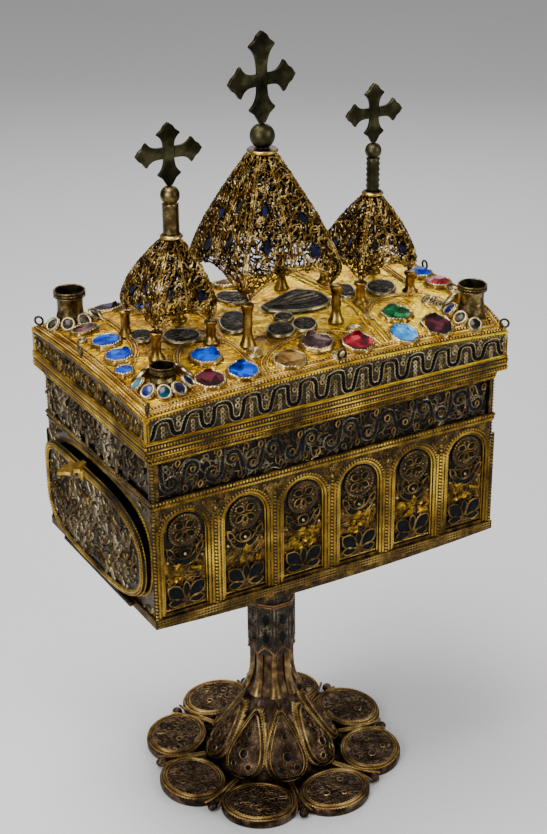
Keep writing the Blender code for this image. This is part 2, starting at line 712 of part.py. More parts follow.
def finial_profile(collar_r, tube_r, tube_length, ball_r):
    """Collar ring, tube and ball, from the top down."""
    tube_top = FINIAL_TUBE_FOOT + tube_length
    ball_z = tube_top + ball_r * 0.92
    points = [(0.0, ball_z + ball_r)]
    for k in (1, 2, 3):
        angle = math.pi * (0.5 - k / 4)
        points.append((ball_r * math.cos(angle), ball_z + ball_r * math.sin(angle)))
    points += [(tube_r, tube_top), (tube_r, FINIAL_TUBE_FOOT), (collar_r, FINIAL_COLLAR_H),
               (collar_r, 0.0), (0.0, 0.0)]
    return points, ball_z + ball_r


def cross_outline(half_w, up, down, arm, cusp):
    """A cross whose arms flare in hollow curves to two cusps and a point; the lower
    arm ends flat where it stands on the ball."""
    points = []
    for quarter, reach in enumerate((half_w, up, half_w, down)):
        turn = Matrix.Rotation(quarter * math.pi / 2, 2)
        start = arm / 2
        tip = reach if quarter < 3 else reach + cusp * 0.12
        bend = tip - cusp * 0.46
        side = [(start + (bend - start) * s, start + (cusp / 2 - start) * s ** 3)
                for s in (0.0, 0.45, 0.80, 1.0)]
        side.append((tip - cusp * 0.20, cusp * 0.24))
        if quarter < 3:
            end = [(tip, 0.0)]
        else:
            end = [(reach, -cusp * 0.12), (reach, cusp * 0.12)]
        arm_points = [(x, -y) for x, y in side] + end + [(x, y) for x, y in side[:0:-1]]
        for x, y in arm_points:
            spot = turn @ Vector((x, y))
            points.append((spot.x, spot.y))
    return points


def build_canopy_group(spec):
    name, centre, half, column_top, collar_z, lean, swell = spec
    collar_r, tube_r, tube_length, ball_r = FINIALS[name]
    for index, (sx, sy) in enumerate(((-1, -1), (1, -1), (1, 1), (-1, 1))):
        x = centre[0] + sx * half[0]
        y = centre[1] + sy * half[1]
        base = column_base(x, y)
        column = turned("column_%s_%d" % (name, index + 1), column_profile(column_top - base),
                        8, brass)
        column.location = (x, y, base)
    build_canopy("canopy_" + name, centre, half, column_top + GAP, collar_z, collar_r, lean,
                 swell)
    profile, height = finial_profile(collar_r, tube_r, tube_length, ball_r)
    finial = turned("finial_" + name, profile, 10, bronze)
    apex_x = centre[0] + lean
    finial.location = (apex_x, centre[1], collar_z + GAP)
    half_w, up, down, arm, cusp, turn = CROSSES[name]
    top = collar_z + GAP + height + GAP
    place = (Matrix.Translation((apex_x, centre[1], top + down))
             @ Matrix.Rotation(math.radians(turn), 4, "Z") @ UPRIGHT_FRONT)
    cross = plate(cross_outline(half_w, up, down, arm, cusp), CROSS_T, place)
    cross.name = "cross_" + name
    cross.data.materials.append(bronze)


def socket_profile(mouth, drum, height):
    """Cup with a banded, flared mouth on a drum with a foot ring, from the inside out."""
    bore = drum - SOCKET_WALL
    foot = drum + SOCKET_FOOT
    return ((0.0, SOCKET_FLOOR), (bore, SOCKET_FLOOR), (bore, height - SOCKET_BAND),
            (mouth - SOCKET_WALL, height), (mouth, height), (mouth, height - SOCKET_BAND),
            (drum, height - SOCKET_BAND * 1.2), (drum, SOCKET_FLOOR), (foot, SOCKET_FLOOR / 2),
            (foot, -SOCKET_ROOT), (0.0, -SOCKET_ROOT))


def build_sockets():
    """Empty round sockets that stand upright on the sloping lid."""
    for name, x, y, mouth, drum, height in SOCKETS:
        socket = turned("socket_" + name, socket_profile(mouth, drum, height), 8, brass)
        socket.location = (x, y, lid_top(x, y))
        combine(socket, [ground_under(x, y)], "DIFFERENCE")


def ground_under(x, y):
    """The lid's surface under a socket, as a cutter that fits its foot to the slope."""
    bm = bmesh.new()
    bmesh.ops.create_grid(bm, x_segments=3, y_segments=3, size=0.0100)
    upper = list(bm.verts)
    lower = bmesh.ops.extrude_face_region(bm, geom=list(bm.faces))["geom"]
    bmesh.ops.translate(bm, vec=(x, y, 0), verts=bm.verts)
    for vert in upper:
        vert.co.z = lid_top(vert.co.x, vert.co.y) + GAP
    for vert in lower:
        if isinstance(vert, bmesh.types.BMVert):
            vert.co.z = LID_BOTTOM
    return object_from(bm, "ground")


def build_rings():
    for name, x, y, turn in RINGS:
        lift = RING_R + RING_WIRE + GAP + 0.0006
        bpy.ops.mesh.primitive_torus_add(major_segments=8, minor_segments=3,
                                         major_radius=RING_R, minor_radius=RING_WIRE)
        ring = bpy.context.object
        for collection in list(ring.users_collection):
            collection.objects.unlink(ring)
        parts.objects.link(ring)
        ring.name = "ring_" + name
        ring.data.materials.append(bronze)
        ring.matrix_world = (Matrix.Translation((x, y, lid_top(x, y) + lift))
                             @ Matrix.Rotation(math.radians(turn), 4, "Z") @ UPRIGHT_FRONT)


clear_scene()
parts = bpy.data.collections.new(COLLECTION)
bpy.context.scene.collection.children.link(parts)

gilt = make_material("gilt", (0.72, 0.50, 0.16), 1.0, 0.35)
filigree = make_material("filigree", (0.34, 0.26, 0.14), 1.0, 0.50)
brass = make_material("brass", (0.55, 0.38, 0.12), 1.0, 0.35)
bronze = make_material("bronze", (0.12, 0.11, 0.07), 1.0, 0.50)
stone_materials = {
    "blue": make_material("stone_blue", (0.01, 0.10, 0.65), 0.0, 0.08),
    "garnet": make_material("stone_garnet", (0.22, 0.01, 0.05), 0.0, 0.08),
    "ruby": make_material("stone_ruby", (0.40, 0.01, 0.03), 0.0, 0.08),
    "amethyst": make_material("stone_amethyst", (0.12, 0.04, 0.10), 0.0, 0.08),
    "emerald": make_material("stone_emerald", (0.00, 0.14, 0.06), 0.0, 0.08),
    "turquoise": make_material("stone_turquoise", (0.10, 0.42, 0.65), 0.0, 0.10),
    "quartz": make_material("stone_quartz", (0.42, 0.32, 0.20), 0.0, 0.15),
    "smoky": make_material("stone_smoky", (0.10, 0.09, 0.09), 0.0, 0.10),
}

build_foot()
build_collar()
build_sleeve()
build_body()
build_door()
build_clasp()
build_lid()
for stone_spec in STONES:
    build_stone(stone_spec)
build_sockets()
build_rings()
for canopy_spec in CANOPIES:
    build_canopy_group(canopy_spec)
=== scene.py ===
"""Reliquary casket of parcel-gilt silver filigree, enamel and stones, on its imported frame."""
import math
import bpy
import numpy as np
from mathutils import Matrix, Vector


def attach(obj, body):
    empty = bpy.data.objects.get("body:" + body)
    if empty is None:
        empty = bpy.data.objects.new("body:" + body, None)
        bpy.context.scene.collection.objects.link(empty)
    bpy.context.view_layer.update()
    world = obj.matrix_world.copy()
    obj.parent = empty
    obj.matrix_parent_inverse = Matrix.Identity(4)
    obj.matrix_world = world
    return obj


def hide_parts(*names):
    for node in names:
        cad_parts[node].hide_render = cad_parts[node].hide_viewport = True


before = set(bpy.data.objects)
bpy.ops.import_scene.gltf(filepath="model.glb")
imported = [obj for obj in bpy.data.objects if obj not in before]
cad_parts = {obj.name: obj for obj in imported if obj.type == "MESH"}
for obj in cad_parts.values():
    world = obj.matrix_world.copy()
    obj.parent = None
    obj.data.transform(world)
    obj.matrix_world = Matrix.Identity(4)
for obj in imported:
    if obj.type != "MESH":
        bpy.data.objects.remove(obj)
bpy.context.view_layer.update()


# Foot
# Raised silver sheet: eight oval roundels round a dome of pear-shaped swellings, each
# bordered with twisted wire, filled with filigree scrolls and soldered to its neighbours.
# The gilding is worn to brown, and the ground between the wires is nearly black.

def linear(code):
    """An sRGB hex colour as linear RGBA."""
    parts = [int(code[i:i + 2], 16) / 255 for i in (0, 2, 4)]
    return tuple(c / 12.92 if c <= 0.04045 else ((c + 0.055) / 1.055) ** 2.4
                 for c in parts) + (1.0,)


def feed(made, **inputs):
    """Sets or links a node's inputs, named with _ for a space, or i0, i1 by number."""
    for key, value in inputs.items():
        number = key[1:] if key[0] == "i" and key[1:].isdigit() else ""
        socket = made.inputs[int(number)] if number else made.inputs[key.replace("_", " ")]
        if isinstance(value, bpy.types.NodeSocket):
            made.id_data.links.new(value, socket)
        else:
            socket.default_value = value


def node(tree, kind, settings=None, out=0, **inputs):
    """Adds a shader node with its settings and inputs, and gives one of its outputs."""
    made = tree.nodes.new("ShaderNode" + kind)
    for key, value in (settings or {}).items():
        if key == "stops":
            ramp = made.color_ramp.elements
            while len(ramp) < len(value):
                ramp.new(0.5)
            for element, (place, code) in zip(ramp, value):
                element.position = place
                element.color = linear(code)
        else:
            setattr(made, key, value)
    feed(made, **inputs)
    return made.outputs[out]


def fresh(name):
    """A new material, its tree, its shader and the place on the piece, in metres."""
    material = bpy.data.materials.new(name)
    material.use_nodes = True
    tree = material.node_tree
    return material, tree, tree.nodes["Principled BSDF"], node(tree, "TexCoord", out="Object")


def mottled(name, scale, stops, detail=0.0, cells="", lumpy=0.5, **finish):
    """A surface whose colour runs through the stops, over clouds or one channel of cells.

    The scale counts the clouds or cells in a metre: 330 makes them 3 mm.
    """
    material, tree, shader, where = fresh(name)
    if cells:
        tint = node(tree, "TexVoronoi", out="Color", Vector=where, Scale=scale)
        fac = node(tree, "SeparateColor", out=cells, Color=tint)
    else:
        fac = node(tree, "TexNoise", Vector=where, Scale=scale, Detail=detail, Roughness=lumpy)
    feed(shader, Base_Color=node(tree, "ValToRGB", {"stops": stops}, Fac=fac), **finish)
    return material


def worn_metal(name, dark, middle, bright, roughness, patch, grain=0.25, dent=0.05):
    """Metal whose colour drifts over patches, with a fine grain; sizes in mm.

    The real grain is finer: a quarter of a millimetre is as fine as it still shows.
    """
    material, tree, shader, where = fresh(name)
    drift = node(tree, "TexNoise", Vector=where, Scale=1000 / patch, Detail=6.0, Roughness=0.62)
    fine = node(tree, "TexNoise", Vector=where, Scale=1000 / grain, Detail=3.0)
    stops = [(0.34, dark), (0.50, middle), (0.66, bright)]
    feed(shader, Base_Color=node(tree, "ValToRGB", {"stops": stops}, Fac=drift), Metallic=1.0,
         Roughness=node(tree, "MapRange", Value=fine, To_Min=roughness - 0.10,
                        To_Max=roughness + 0.16),
         Normal=node(tree, "Bump", Height=fine, Strength=0.5, Distance=dent / 1000))
    return material


def piece(name, shells, material, body="casket", stands_for=(), smooth=True):
    """One mesh from (points in mm, faces) shells, riding on a body of the frame."""
    points = np.concatenate([shell[0] for shell in shells])
    loops, sizes, offset = [], [], 0
    for spots, faces in shells:
        loops.append((faces + offset).ravel())
        sizes.append(np.full(len(faces), faces.shape[1]))
        offset += len(spots)
    loops, sizes = np.concatenate(loops), np.concatenate(sizes)
    mesh = bpy.data.meshes.new(name)
    mesh.vertices.add(len(points))
    mesh.vertices.foreach_set("co", (points * 0.001).astype(np.float32).ravel())
    mesh.loops.add(len(loops))
    mesh.loops.foreach_set("vertex_index", loops.astype(np.int32))
    mesh.polygons.add(len(sizes))
    mesh.polygons.foreach_set("loop_start", np.concatenate(([0], np.cumsum(sizes)[:-1])))
    mesh.polygons.foreach_set("use_smooth", np.full(len(sizes), smooth))
    mesh.update(calc_edges=True)
    mesh.materials.append(material)
    item = bpy.data.objects.new(name, mesh)
    bpy.context.scene.collection.objects.link(item)
    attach(item, body)
    if stands_for:
        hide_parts(*stands_for)


def grid(rows, wrap=False):
    """Quads over a (rows, columns, 3) array of points, closed round when it wraps."""
    rows = np.asarray(rows, float)
    high, wide = rows.shape[:2]
    across = np.arange(wide if wrap else wide - 1)
    a = (np.arange(high - 1)[:, None] * wide + across).ravel()
    b = (np.arange(high - 1)[:, None] * wide + (across + 1) % wide).ravel()
    return rows.reshape(-1, 3), np.stack((a, b, b + wide, a + wide), 1)


def plane(origin, across, up, out):
    """A flat chart: u, v and height above it to a point."""
    axes = [np.array(axis, float) for axis in (across, up, out)]
    return lambda u, v, h: (np.array(origin, float) + np.outer(u, axes[0])
                            + np.outer(v, axes[1]) + np.outer(h, axes[2]))


def around(count):
    """Angles spaced evenly round a circle."""
    return np.linspace(0, 2 * math.pi, count, endpoint=False)


def polar(radius, angle, centre=(0.0, 0.0)):
    """Points at a radius and angles round a centre."""
    return np.stack((centre[0] + radius * np.cos(angle), centre[1] + radius * np.sin(angle)), 1)


def evenly(path, step, closed=False, multiple=1):
    """The path resampled at about even steps."""
    path = np.asarray(path, float)
    if closed:
        path = np.vstack((path, path[:1]))
    run = np.concatenate(([0], np.cumsum(np.linalg.norm(np.diff(path, axis=0), axis=1))))
    count = max(1, round(run[-1] / step / multiple)) * multiple
    spots = np.linspace(0, run[-1], count + 1)
    if closed:
        spots = spots[:-1]
    return np.stack([np.interp(spots, run, path[:, k]) for k in (0, 1)], 1)


def directions(path, closed=False):
    """Unit vectors along a path, and square to it."""
    along = np.roll(path, -1, 0) - np.roll(path, 1, 0) if closed else np.gradient(path, axis=0)
    along /= np.maximum(np.linalg.norm(along, axis=1, keepdims=True), 1e-12)
    return along, np.stack((-along[:, 1], along[:, 0]), 1)


def sweep(path, sides, heights, place, closed=False):
    """Carries a section along a path; sides and heights are (path, section) arrays."""
    path = np.asarray(path, float)
    spots = path[:, None] + sides[:, :, None] * directions(path, closed)[1][:, None]
    points = place(spots[..., 0].ravel(), spots[..., 1].ravel(), heights.ravel())
    points = points.reshape(*sides.shape, 3)
    return grid(np.concatenate((points, points[:1])) if closed else points)


WIRE = ((1.0, 0.0), (0.0, 1.0), (-1.0, 0.0))
STRIP = ((1.0, 0.0), (0.72, 0.85), (-0.72, 0.85), (-1.0, 0.0))


def wire(path, width, height, place, lift=0.0, closed=False, form=WIRE):
    """A plain wire soldered along a path."""
    form = np.array(form)
    ones = np.ones((len(path), 1))
    return sweep(path, ones * form[:, 0] * width / 2, ones * form[:, 1] * height + lift,
                 place, closed)


def border(outline, width, height, place, lift=0.0):
    """A flat-topped wire closed round an outline."""
    return wire(outline, width, height, place, lift, True, STRIP)


def strip(path, width, height, place, lift=0.0):
    """A flat-topped strip along an open path."""
    return wire(path, width, height, place, lift, False, STRIP)


def rope(path, size, place, lift=0.0, closed=False, hand=1):
    """Twisted wire: a half-round section whose bulge winds along the path."""
    # the real twist is finer; 1.9 mm is the shortest turn that still shows
    path = evenly(path, max(0.85 * size, 1.9) / 4, closed, 4)
    angle = np.linspace(0, math.pi, 4)
    wave = 2 * math.pi * np.arange(len(path))[:, None] / 4 + hand * 1.4 * angle
    turns = np.cos(wave)
    return sweep(path, size / 2 * (0.86 + 0.26 * turns) * np.cos(angle),
                 lift + size / 2 * (0.66 + 0.56 * turns) * np.sin(angle), place, closed)


def scroll(centre, size, bend, turned, count=13):
    """An S or C scroll of wire: its bend grows towards both ends."""
    t = np.linspace(-1, 1, count)
    turn = turned + abs(bend) * (t * t if bend > 0 else t * np.abs(t))
    path = np.cumsum(polar(size / count, turn), 0)
    return path - path.mean(0) + centre


def filigree(inside, reach, spacing, place, seed, width=0.5, height=0.55, lift=0.0,
             form=WIRE, count=10):
    """Scrolls packed over the part of a chart for which inside(u, v) holds."""
    random = np.random.default_rng(seed)
    (u0, u1), (v0, v1) = reach
    wires = []
    for row, v in enumerate(np.arange(v0, v1, spacing * 0.87)):
        for u in np.arange(u0 + (row % 2) * spacing / 2, u1, spacing):
            spot = np.array((u, v)) + random.uniform(-0.22, 0.22, 2) * spacing
            if not inside(*spot):
                continue
            bend = random.choice((3.3, -3.6, 4.6, -4.8, 2.6))
            path = scroll(spot, spacing * random.uniform(2.5, 3.3), bend,
                          random.uniform(0, 6.28), count)
            wires.append(wire(path, width, height, place, lift, False, form))
    return wires


def oval(half_u, half_v, count=48, centre=(0.0, 0.0), turned=0.0):
    """An oval outline, turned on its centre."""
    c, s = math.cos(turned), math.sin(turned)
    return polar(1, around(count)) * (half_u, half_v) @ np.array(((c, s), (-s, c))) + centre


def pane(outline, place, lift, dome=0.0):
    """A filled cell, such as enamel in its wire border, domed a little."""
    outline = np.asarray(outline, float)
    middle = outline.mean(0)
    rings = [place(*(middle + (outline - middle) * k).T, np.full(len(outline), lift + dome * q))
             for k, q in ((1.0, 0.0), (0.6, 0.8), (0.02, 1.0))]
    return grid(rings, wrap=True)


# drawn silver wire, gilt and handled: brown hollows, pale rubbed crowns; the borders keep
# more gold, and tarnish leaves the sheet between them nearly black and dull
wire_foot = worn_metal("brown gilt wire of the foot", "241b13", "564430", "94785a", 0.40, 9)
border_foot = worn_metal("rubbed gilt borders of the foot", "3a2a14", "806236", "c0a062", 0.36, 20)
sheet_foot = worn_metal("blackened gilt sheet of the foot", "15100c", "382c22", "6e5a48", 0.46, 8,
    0.40, 0.08)

LOBES = [math.radians(7.5 + 45 * k) for k in range(8)]
LOBE, LOBE_OUT, LOBE_TOP = (23.2, 19.2), 62.2, 5.2
sheet, borders, fill, fillets, eyes = [], [], [], [], []


def lobe_chart(angle):
    """A foot roundel: u runs round the foot, v outwards."""
    out = np.array((math.cos(angle), math.sin(angle)))
    side = np.array((-out[1], out[0]))

    def place(u, v, h):
        spot = out * LOBE_OUT + np.outer(u, side) + np.outer(v, out)
        crown = LOBE_TOP + 1.8 * (1 - (np.array(u) / LOBE[0]) ** 2 - (np.array(v) / LOBE[1]) ** 2)
        return np.column_stack((spot, np.maximum(crown, 0.0) + h))
    return place


for index, angle in enumerate(LOBES):
    place = lobe_chart(angle)
    rim = oval(*LOBE)
    rings = []
    for scale, level in ((0.96, LOBE_TOP), (1.0, 4.2), (1.0, 1.4), (0.985, 0.1)):
        ring = place(*(rim * scale).T, np.zeros(48))
        ring[:, 2] = level
        rings.append(ring)
    rings = rings[::-1] + [place(*(rim * k).T, np.full(48, -0.2)) for k in (0.95, 0.8, 0.5, 0.02)]
    sheet.append(grid(rings, wrap=True))
    borders.append(rope(rim * 0.945, 1.5, place, closed=True))
    borders.append(border(rim * 0.875, 0.7, 0.9, place))
    borders.append(rope(rim * 0.805, 1.2, place, closed=True, hand=-1))
    fill += filigree(lambda u, v: (u / LOBE[0]) ** 2 + (v / LOBE[1]) ** 2 < 0.52,
                     ((-20, 20), (-20, 20)), 3.3, place, index)
    for u, v, r in ((-8, 2, 2.1), (7, -3, 1.7), (1, 8, 1.5)):
        eyes.append(pane(oval(r, r, 12, (u, v)), place, 0.4, 0.3))
        borders.append(wire(oval(r, r, 12, (u, v)), 0.6, 0.9, place, closed=True))

DOME_FOOT, HALF_TURN = 4, math.radians(22.5)


def dome_radius(height):
    """Radius of the dome at a height."""
    return np.interp(height, (0, 6, 13, 21, 30, 38, 46, 52),
                     (42, 40.5, 36.8, 31.2, 24.5, 19, 15.6, 14.5))


def dome_chart(angle):
    """A pear of the dome: u runs round, v up its slope from z 4 mm."""
    def place(u, v, h):
        u, v, h = (np.asarray(x, float) for x in (u, v, h))
        z = DOME_FOOT + v * 0.86
        q = np.abs(u) / pear_half(v)
        radius = dome_radius(z) - 2.2 + 4 * np.sqrt(np.clip(1 - q * q, 0, 1)) + h * 0.85
        theta = angle + u / np.maximum(radius, 12)
        return np.column_stack((radius * np.cos(theta), radius * np.sin(theta), z + h * 0.5))
    return place


def pear_half(v):
    """Half width of a pear at a distance up the dome."""
    t = np.clip(np.asarray(v, float) / 44, 0.001, 0.999)
    return 16.6 * np.sin(math.pi * t ** 0.62) ** 0.62 * (1 - 0.52 * t) + 0.2


for index, angle in enumerate(LOBES):
    place = dome_chart(angle + HALF_TURN)
    sheet.append(grid([
        place(np.linspace(-1, 1, 17) * math.pi / 8 * dome_radius(DOME_FOOT + level * 0.86),
              np.full(17, level), np.zeros(17)) for level in np.linspace(-4, 55.5, 30)]))
    t = np.linspace(0.02, 0.98, 26) * 44
    half = np.stack((pear_half(t) * 0.94, t), 1)
    outline = np.vstack((half, half[::-1] * (-1, 1)))
    fillets.append(rope(outline, 1.8, place, closed=True))
    inner = outline * (0.80, 0.86) + (0, 2.6)
    fillets.append(border(inner, 0.8, 1, place))
    fill += filigree(lambda u, v: 4 < v < 38 and abs(u) < pear_half(v) * 0.70,
                     ((-12, 12), (3, 38)), 3.1, place, 40 + index)
    for u0, v0, r in ((0, 16, 2.7), (-5.2, 8.5, 1.9), (5.2, 8.8, 1.9), (0, 27.5, 1.6)):
        eyes.append(pane(oval(r, r, 14, (u0, v0)), place, 0.7, 0.4))
        borders.append(wire(oval(r, r, 14, (u0, v0)), 0.6, 1.2, place, closed=True))
    # long bead in the notch between two roundels, with a bright fillet on either side
    spin = np.array(Matrix.Rotation(angle + HALF_TURN, 3, "Z"))
    points, faces = grid([[(72.6 + 3.4 * math.cos(b), 3 * math.sin(b) * math.cos(k),
        3.2 + 2.8 * math.sin(b) * math.sin(k)) for b in np.linspace(0, math.pi, 9)]
        for k in np.linspace(0, 2 * math.pi, 13)])
    sheet.append((points @ spin.T, faces))
    for side in (-1, 1):
        flat = plane((0, 0, 4), spin[:, 0], spin[:, 1], (0, 0, 1))
        path = [(44 + 30 * k, side * (1 + 4 * k ** 3)) for k in np.linspace(0, 1, 10)]
        fillets.append(strip(path, 1.4, 1.4, flat))

disc = [np.insert(polar(r, around(64)), 2, z, 1)
        for r, z in ((1, 0.0), (66, 0.0), (66, 3), (50, 4.2))]
sheet.append(grid(disc, wrap=True))
# fired enamel, almost black: smooth, faintly blue and green from cell to cell, little shine
enamel_dark = mottled("dark enamel", 330, [(0.0, "040506"), (0.45, "0a0c18"), (0.75, "0a1620"),
    (1.0, "100e0c")], cells="Red", Roughness=0.34, Specular_IOR_Level=0.07)
piece("foot_sheet", sheet, sheet_foot, stands_for=["foot"])
piece("foot_borders", borders, border_foot)
piece("foot_filigree", fill, wire_foot)
# gilding kept bright by rubbing: the palest gold of the foot
fillet_gold = worn_metal("rubbed gilt fillets", "423018", "7e6436", "bc9e60", 0.36, 12)
piece("foot_fillets", fillets, fillet_gold)
piece("foot_cells", eyes, enamel_dark)


# Stem
# A gilt cage of eight bars spreads onto the dome; above it an eight-sided tube of dark
# filigree, soldered from two lengths with a coppery seam, runs up to the box.

def stem_chart(radius):
    """An eight-sided tube: u runs round it, v is the height."""
    def place(u, v, h):
        theta = np.asarray(u, float) / radius
        sector = (theta + math.pi / 8) % (math.pi / 4) - math.pi / 8
        r = radius * math.cos(math.pi / 8) / np.cos(sector) + h
        return np.column_stack((r * np.cos(theta), r * np.sin(theta), np.broadcast_to(v, r.shape)))
    return place


def leaf(foot, tip, half, blunt=1.0):
    """A drop-shaped outline from its pointed foot to its rounded tip."""
    foot, tip = np.array(foot, float), np.array(tip, float)
    along = tip - foot
    side = np.array((-along[1], along[0])) / np.linalg.norm(along)
    t = np.linspace(0, 1, 10)
    w = half * np.sin(math.pi * t ** blunt) ** 0.8
    left = foot + np.outer(t, along) + np.outer(w, side)
    right = foot + np.outer(t, along) - np.outer(w, side)
    return np.vstack((left, right[-2:0:-1]))


bars, core, seam, sleeve, panels, cells = [], [], [], [], [], []
levels = ((78, 13.4), (70, 13.4), (63, 13.8), (57, 15), (52.5, 17.2), (49.8, 18.6))
core.append(grid([np.insert(polar(r - 2.8, around(48)), 2, z, 1) for z, r in levels], wrap=True))
for k in range(8):
    angle = math.radians(45 * k + 22.5)
    out, side = (math.cos(angle), math.sin(angle)), (-math.sin(angle), math.cos(angle))
    rows = []
    for z, r in levels:
        half = 1.9 + 0.35 * max(0.0, r - 13.4)
        rows.append([(out[0] * (r - d) + side[0] * s * half, out[1] * (r - d) + side[1] * s * half,
            z) for s, d in ((-1, 2.2), (-0.8, 0.2), (0, -0.3), (0.8, 0.2), (1, 2.2))])
    bars.append(grid(rows))

UPPER_R, LOWER_R = 13.7, 14.5
upper, lower = stem_chart(UPPER_R), stem_chart(LOWER_R)
# the lower length ends in pointed arches, 5.2 mm high
for chart, radius, low, high, point in ((upper, UPPER_R, 111, 158.2, 0),
        (lower, LOWER_R, 78.3, 113, 5.2)):
    side = 2 * math.pi * radius / 8
    for k in range(8):
        corner = (k + 0.5) * side
        sleeve.append(grid([chart(np.linspace(corner - side, corner, 5), np.full(5, z),
            np.zeros(5)) for z in (low, high)]))
        base = low + point
        panels.append(rope([(corner, base), (corner, high)], 1.1, chart))
        for shift in (-2.1, 2.1):
            panels.append(wire([(corner + shift, base), (corner + shift, high)], 0.5, 0.6, chart))
        middle = corner - side / 2
        panels += filigree(lambda u, v: abs(u - middle) < side * 0.30 and low + 4 < v < high - 3,
            ((middle - side / 2, middle + side / 2), (low, high)), 2.7, chart, k)
        cells += [pane(leaf((middle, z), (middle, z + 8.5), 2.3), chart, 0.4, 0.3)
                  for z in np.arange(low + 8, high - 9, 12.5)]
        if point:
            arch = [(middle + s * side / 2, low + point * (1 - abs(s) ** 1.5))
                    for s in np.linspace(-1, 1, 13)]
            seam.append(rope(arch, 1.3, chart, 0.1))
for z, size in ((157.6, 1.6), (155.7, 1.2), (79, 1.2)):
    panels.append(rope([(u, z) for u in np.linspace(0, 2 * math.pi * UPPER_R, 60)], size, upper))
for z in (112, 113.6):
    seam.append(strip([(u, z) for u in np.linspace(0, 2 * math.pi * LOWER_R, 60)], 1.5, 0.8, upper,
        0.4))
# sulphide tarnish on gilt silver: matt black with brown showing through
ground = mottled("blackened ground", 420, [(0.35, "0c0a07"), (0.52, "1c150c"), (0.72, "3c2c14")],
                 4, Metallic=0.35, Roughness=0.55)
sheet_brown = worn_metal("gilt sheet worn brown", "1e1610", "463626", "80694a", 0.46, 8, 0.40,
    0.08)
# tarnished wire: dark, with glints on its crowns only
wire_dark = worn_metal("blackened wire", "201b16", "4c4236", "968468", 0.38, 7)
# solder rich in copper: a warm reddish line
copper = worn_metal("coppery solder seam", "4a2f1c", "87603c", "a98356", 0.45, 6, 0.30, 0.06)
# mercury gilding: warm gold with soft highlights, darker and browner on the collar's bars
gilt = worn_metal("gilt silver", "6e4e1a", "b48a38", "e2c06a", 0.30, 14, 0.40)
bars_gilt = worn_metal("gilt of the collar", "2c2114", "604a2e", "a88854", 0.36, 9, 0.40)
piece("collar_bars", bars, bars_gilt, stands_for=["stem_collar"])
piece("collar_core", core, sheet_brown)
piece("sleeve_sheet", sleeve, ground, stands_for=["stem_sleeve"])
piece("sleeve_filigree", panels, wire_dark)
piece("sleeve_seam", seam, copper)
piece("sleeve_cells", cells, enamel_dark)


# Casket body
# Sheet box behind an arcade: pilasters and arches of twisted wire, and in each arch a
# roundel, a horned crescent and a palmette of enamelled cells over gilt foil. Above, a
# band of scrolls between rope courses. Dark enamel, bright gold where the foil shows.

# gilt silver sheet: painted shade, nearly black, deep in the sunk arches, gold where it lies open
# round the foils, and worn brown on the outer face, darkened as painted shade; these places are in
# metres
gilt_ground, tree, shader, where = fresh("gilt ground, painted shade in the arches")
patch = node(tree, "TexNoise", Vector=where, Scale=190.0, Detail=5.0, Roughness=0.6)
reach = [node(tree, "Math", {"operation": "SUBTRACT"}, i1=half, i0=node(
    tree, "Math", {"operation": "ABSOLUTE"}, i0=node(tree, "SeparateXYZ", out=axis, Vector=where)))
    for axis, half in (("X", 0.1100), ("Y", 0.0695))]
outer = node(tree, "Math", {"operation": "MAXIMUM"}, i0=reach[0], i1=reach[1])
face = node(tree, "MapRange", Value=outer, From_Min=-0.0012, From_Max=-0.0004)
height = node(tree, "SeparateXYZ", out="Z", Vector=where)
foil = node(tree, "MapRange", Value=height, From_Min=0.2060, From_Max=0.1950)
low = node(tree, "MapRange", Value=height, From_Min=0.1780, From_Max=0.1880)
zone = node(tree, "Math", {"operation": "MULTIPLY"}, i0=foil, i1=low)
level = node(tree, "Math", {"operation": "MULTIPLY_ADD"}, i0=zone, i1=0.16, i2=patch)
# the nearly black stops are painted shade deep in the sunk arches; the gold ones lie where the
# foil is
inner = node(tree, "ValToRGB", {"stops": [(0.46, "0b0907"), (0.60, "241a0c"), (0.74, "7a5a1c"),
    (0.86, "c89c30")]}, Fac=level)
# the outer face: worn brown, kept dark as painted shade
brown = node(tree, "ValToRGB", {"stops": [(0.34, "1a1209"), (0.52, "40300f"), (0.70, "80622a")]},
             Fac=patch)
fine = node(tree, "TexNoise", Vector=where, Scale=700.0, Detail=3.0)
feed(shader, Base_Color=node(tree, "Mix", {"data_type": "RGBA"}, 2, i0=face, i6=inner, i7=brown),
     Normal=node(tree, "Bump", Height=fine, Strength=0.8, Distance=0.0003),
     Metallic=0.85, Roughness=0.36)
# fired enamel, blue black: small clouds of navy and purple that hardly shine
navy = mottled("navy enamel", 260, [(0.30, "020203"), (0.50, "04060a"), (0.62, "071014"),
    (0.76, "16182a")], 4, Roughness=0.34, Specular_IOR_Level=0.07)


def wall(origin, across):
    """An upright chart: u runs to the right as it is seen from outside, v up."""
    return plane(origin, (*across, 0), (0, 0, 1), (across[1], -across[0], 0))


def beading(path, size, pitch, place, gold, dark, lift=0.0, closed=False):
    """A beaded wire: domed beads in a row, over a dark strip that shows between them as painted
    shade.
    """
    path = evenly(path, pitch, closed)
    # the dark strip is painted shade in the gaps between the beads
    dark.append(wire(path, size * 1.25, 0.15, place, lift, closed, STRIP))
    turn = around(6) + 0.5
    for spot, a, s in zip(path, *directions(path, closed)):
        ring = (np.outer(np.cos(turn), a + 0.35 * s) * pitch * 0.36
                + np.outer(np.sin(turn), s) * size / 2)
        rings = [place(*(spot + ring * k).T, np.full(6, lift + size * h))
                 for k, h in ((1.0, 0.0), (0.85, 0.36), (0.1, 0.52))]
        gold.append(grid(rings, wrap=True))


HALF_W, HALF_D, SUNK = 110, 69.5, 1.6
front, back = wall((0, -HALF_D, 0), (1, 0)), wall((0, HALF_D, 0), (-1, 0))
right, left = wall((HALF_W, 0, 0), (0, 1)), wall((-HALF_W, 0, 0), (0, -1))
CORNERS = ((-1, -1), (1, -1), (1, 1), (-1, 1))
ARCH, SPRING = 13.4, 215
ropes, ribs, enamel, rims, foils, grains, courses, shades, bead_shade_strips = ([] for _ in range(9))


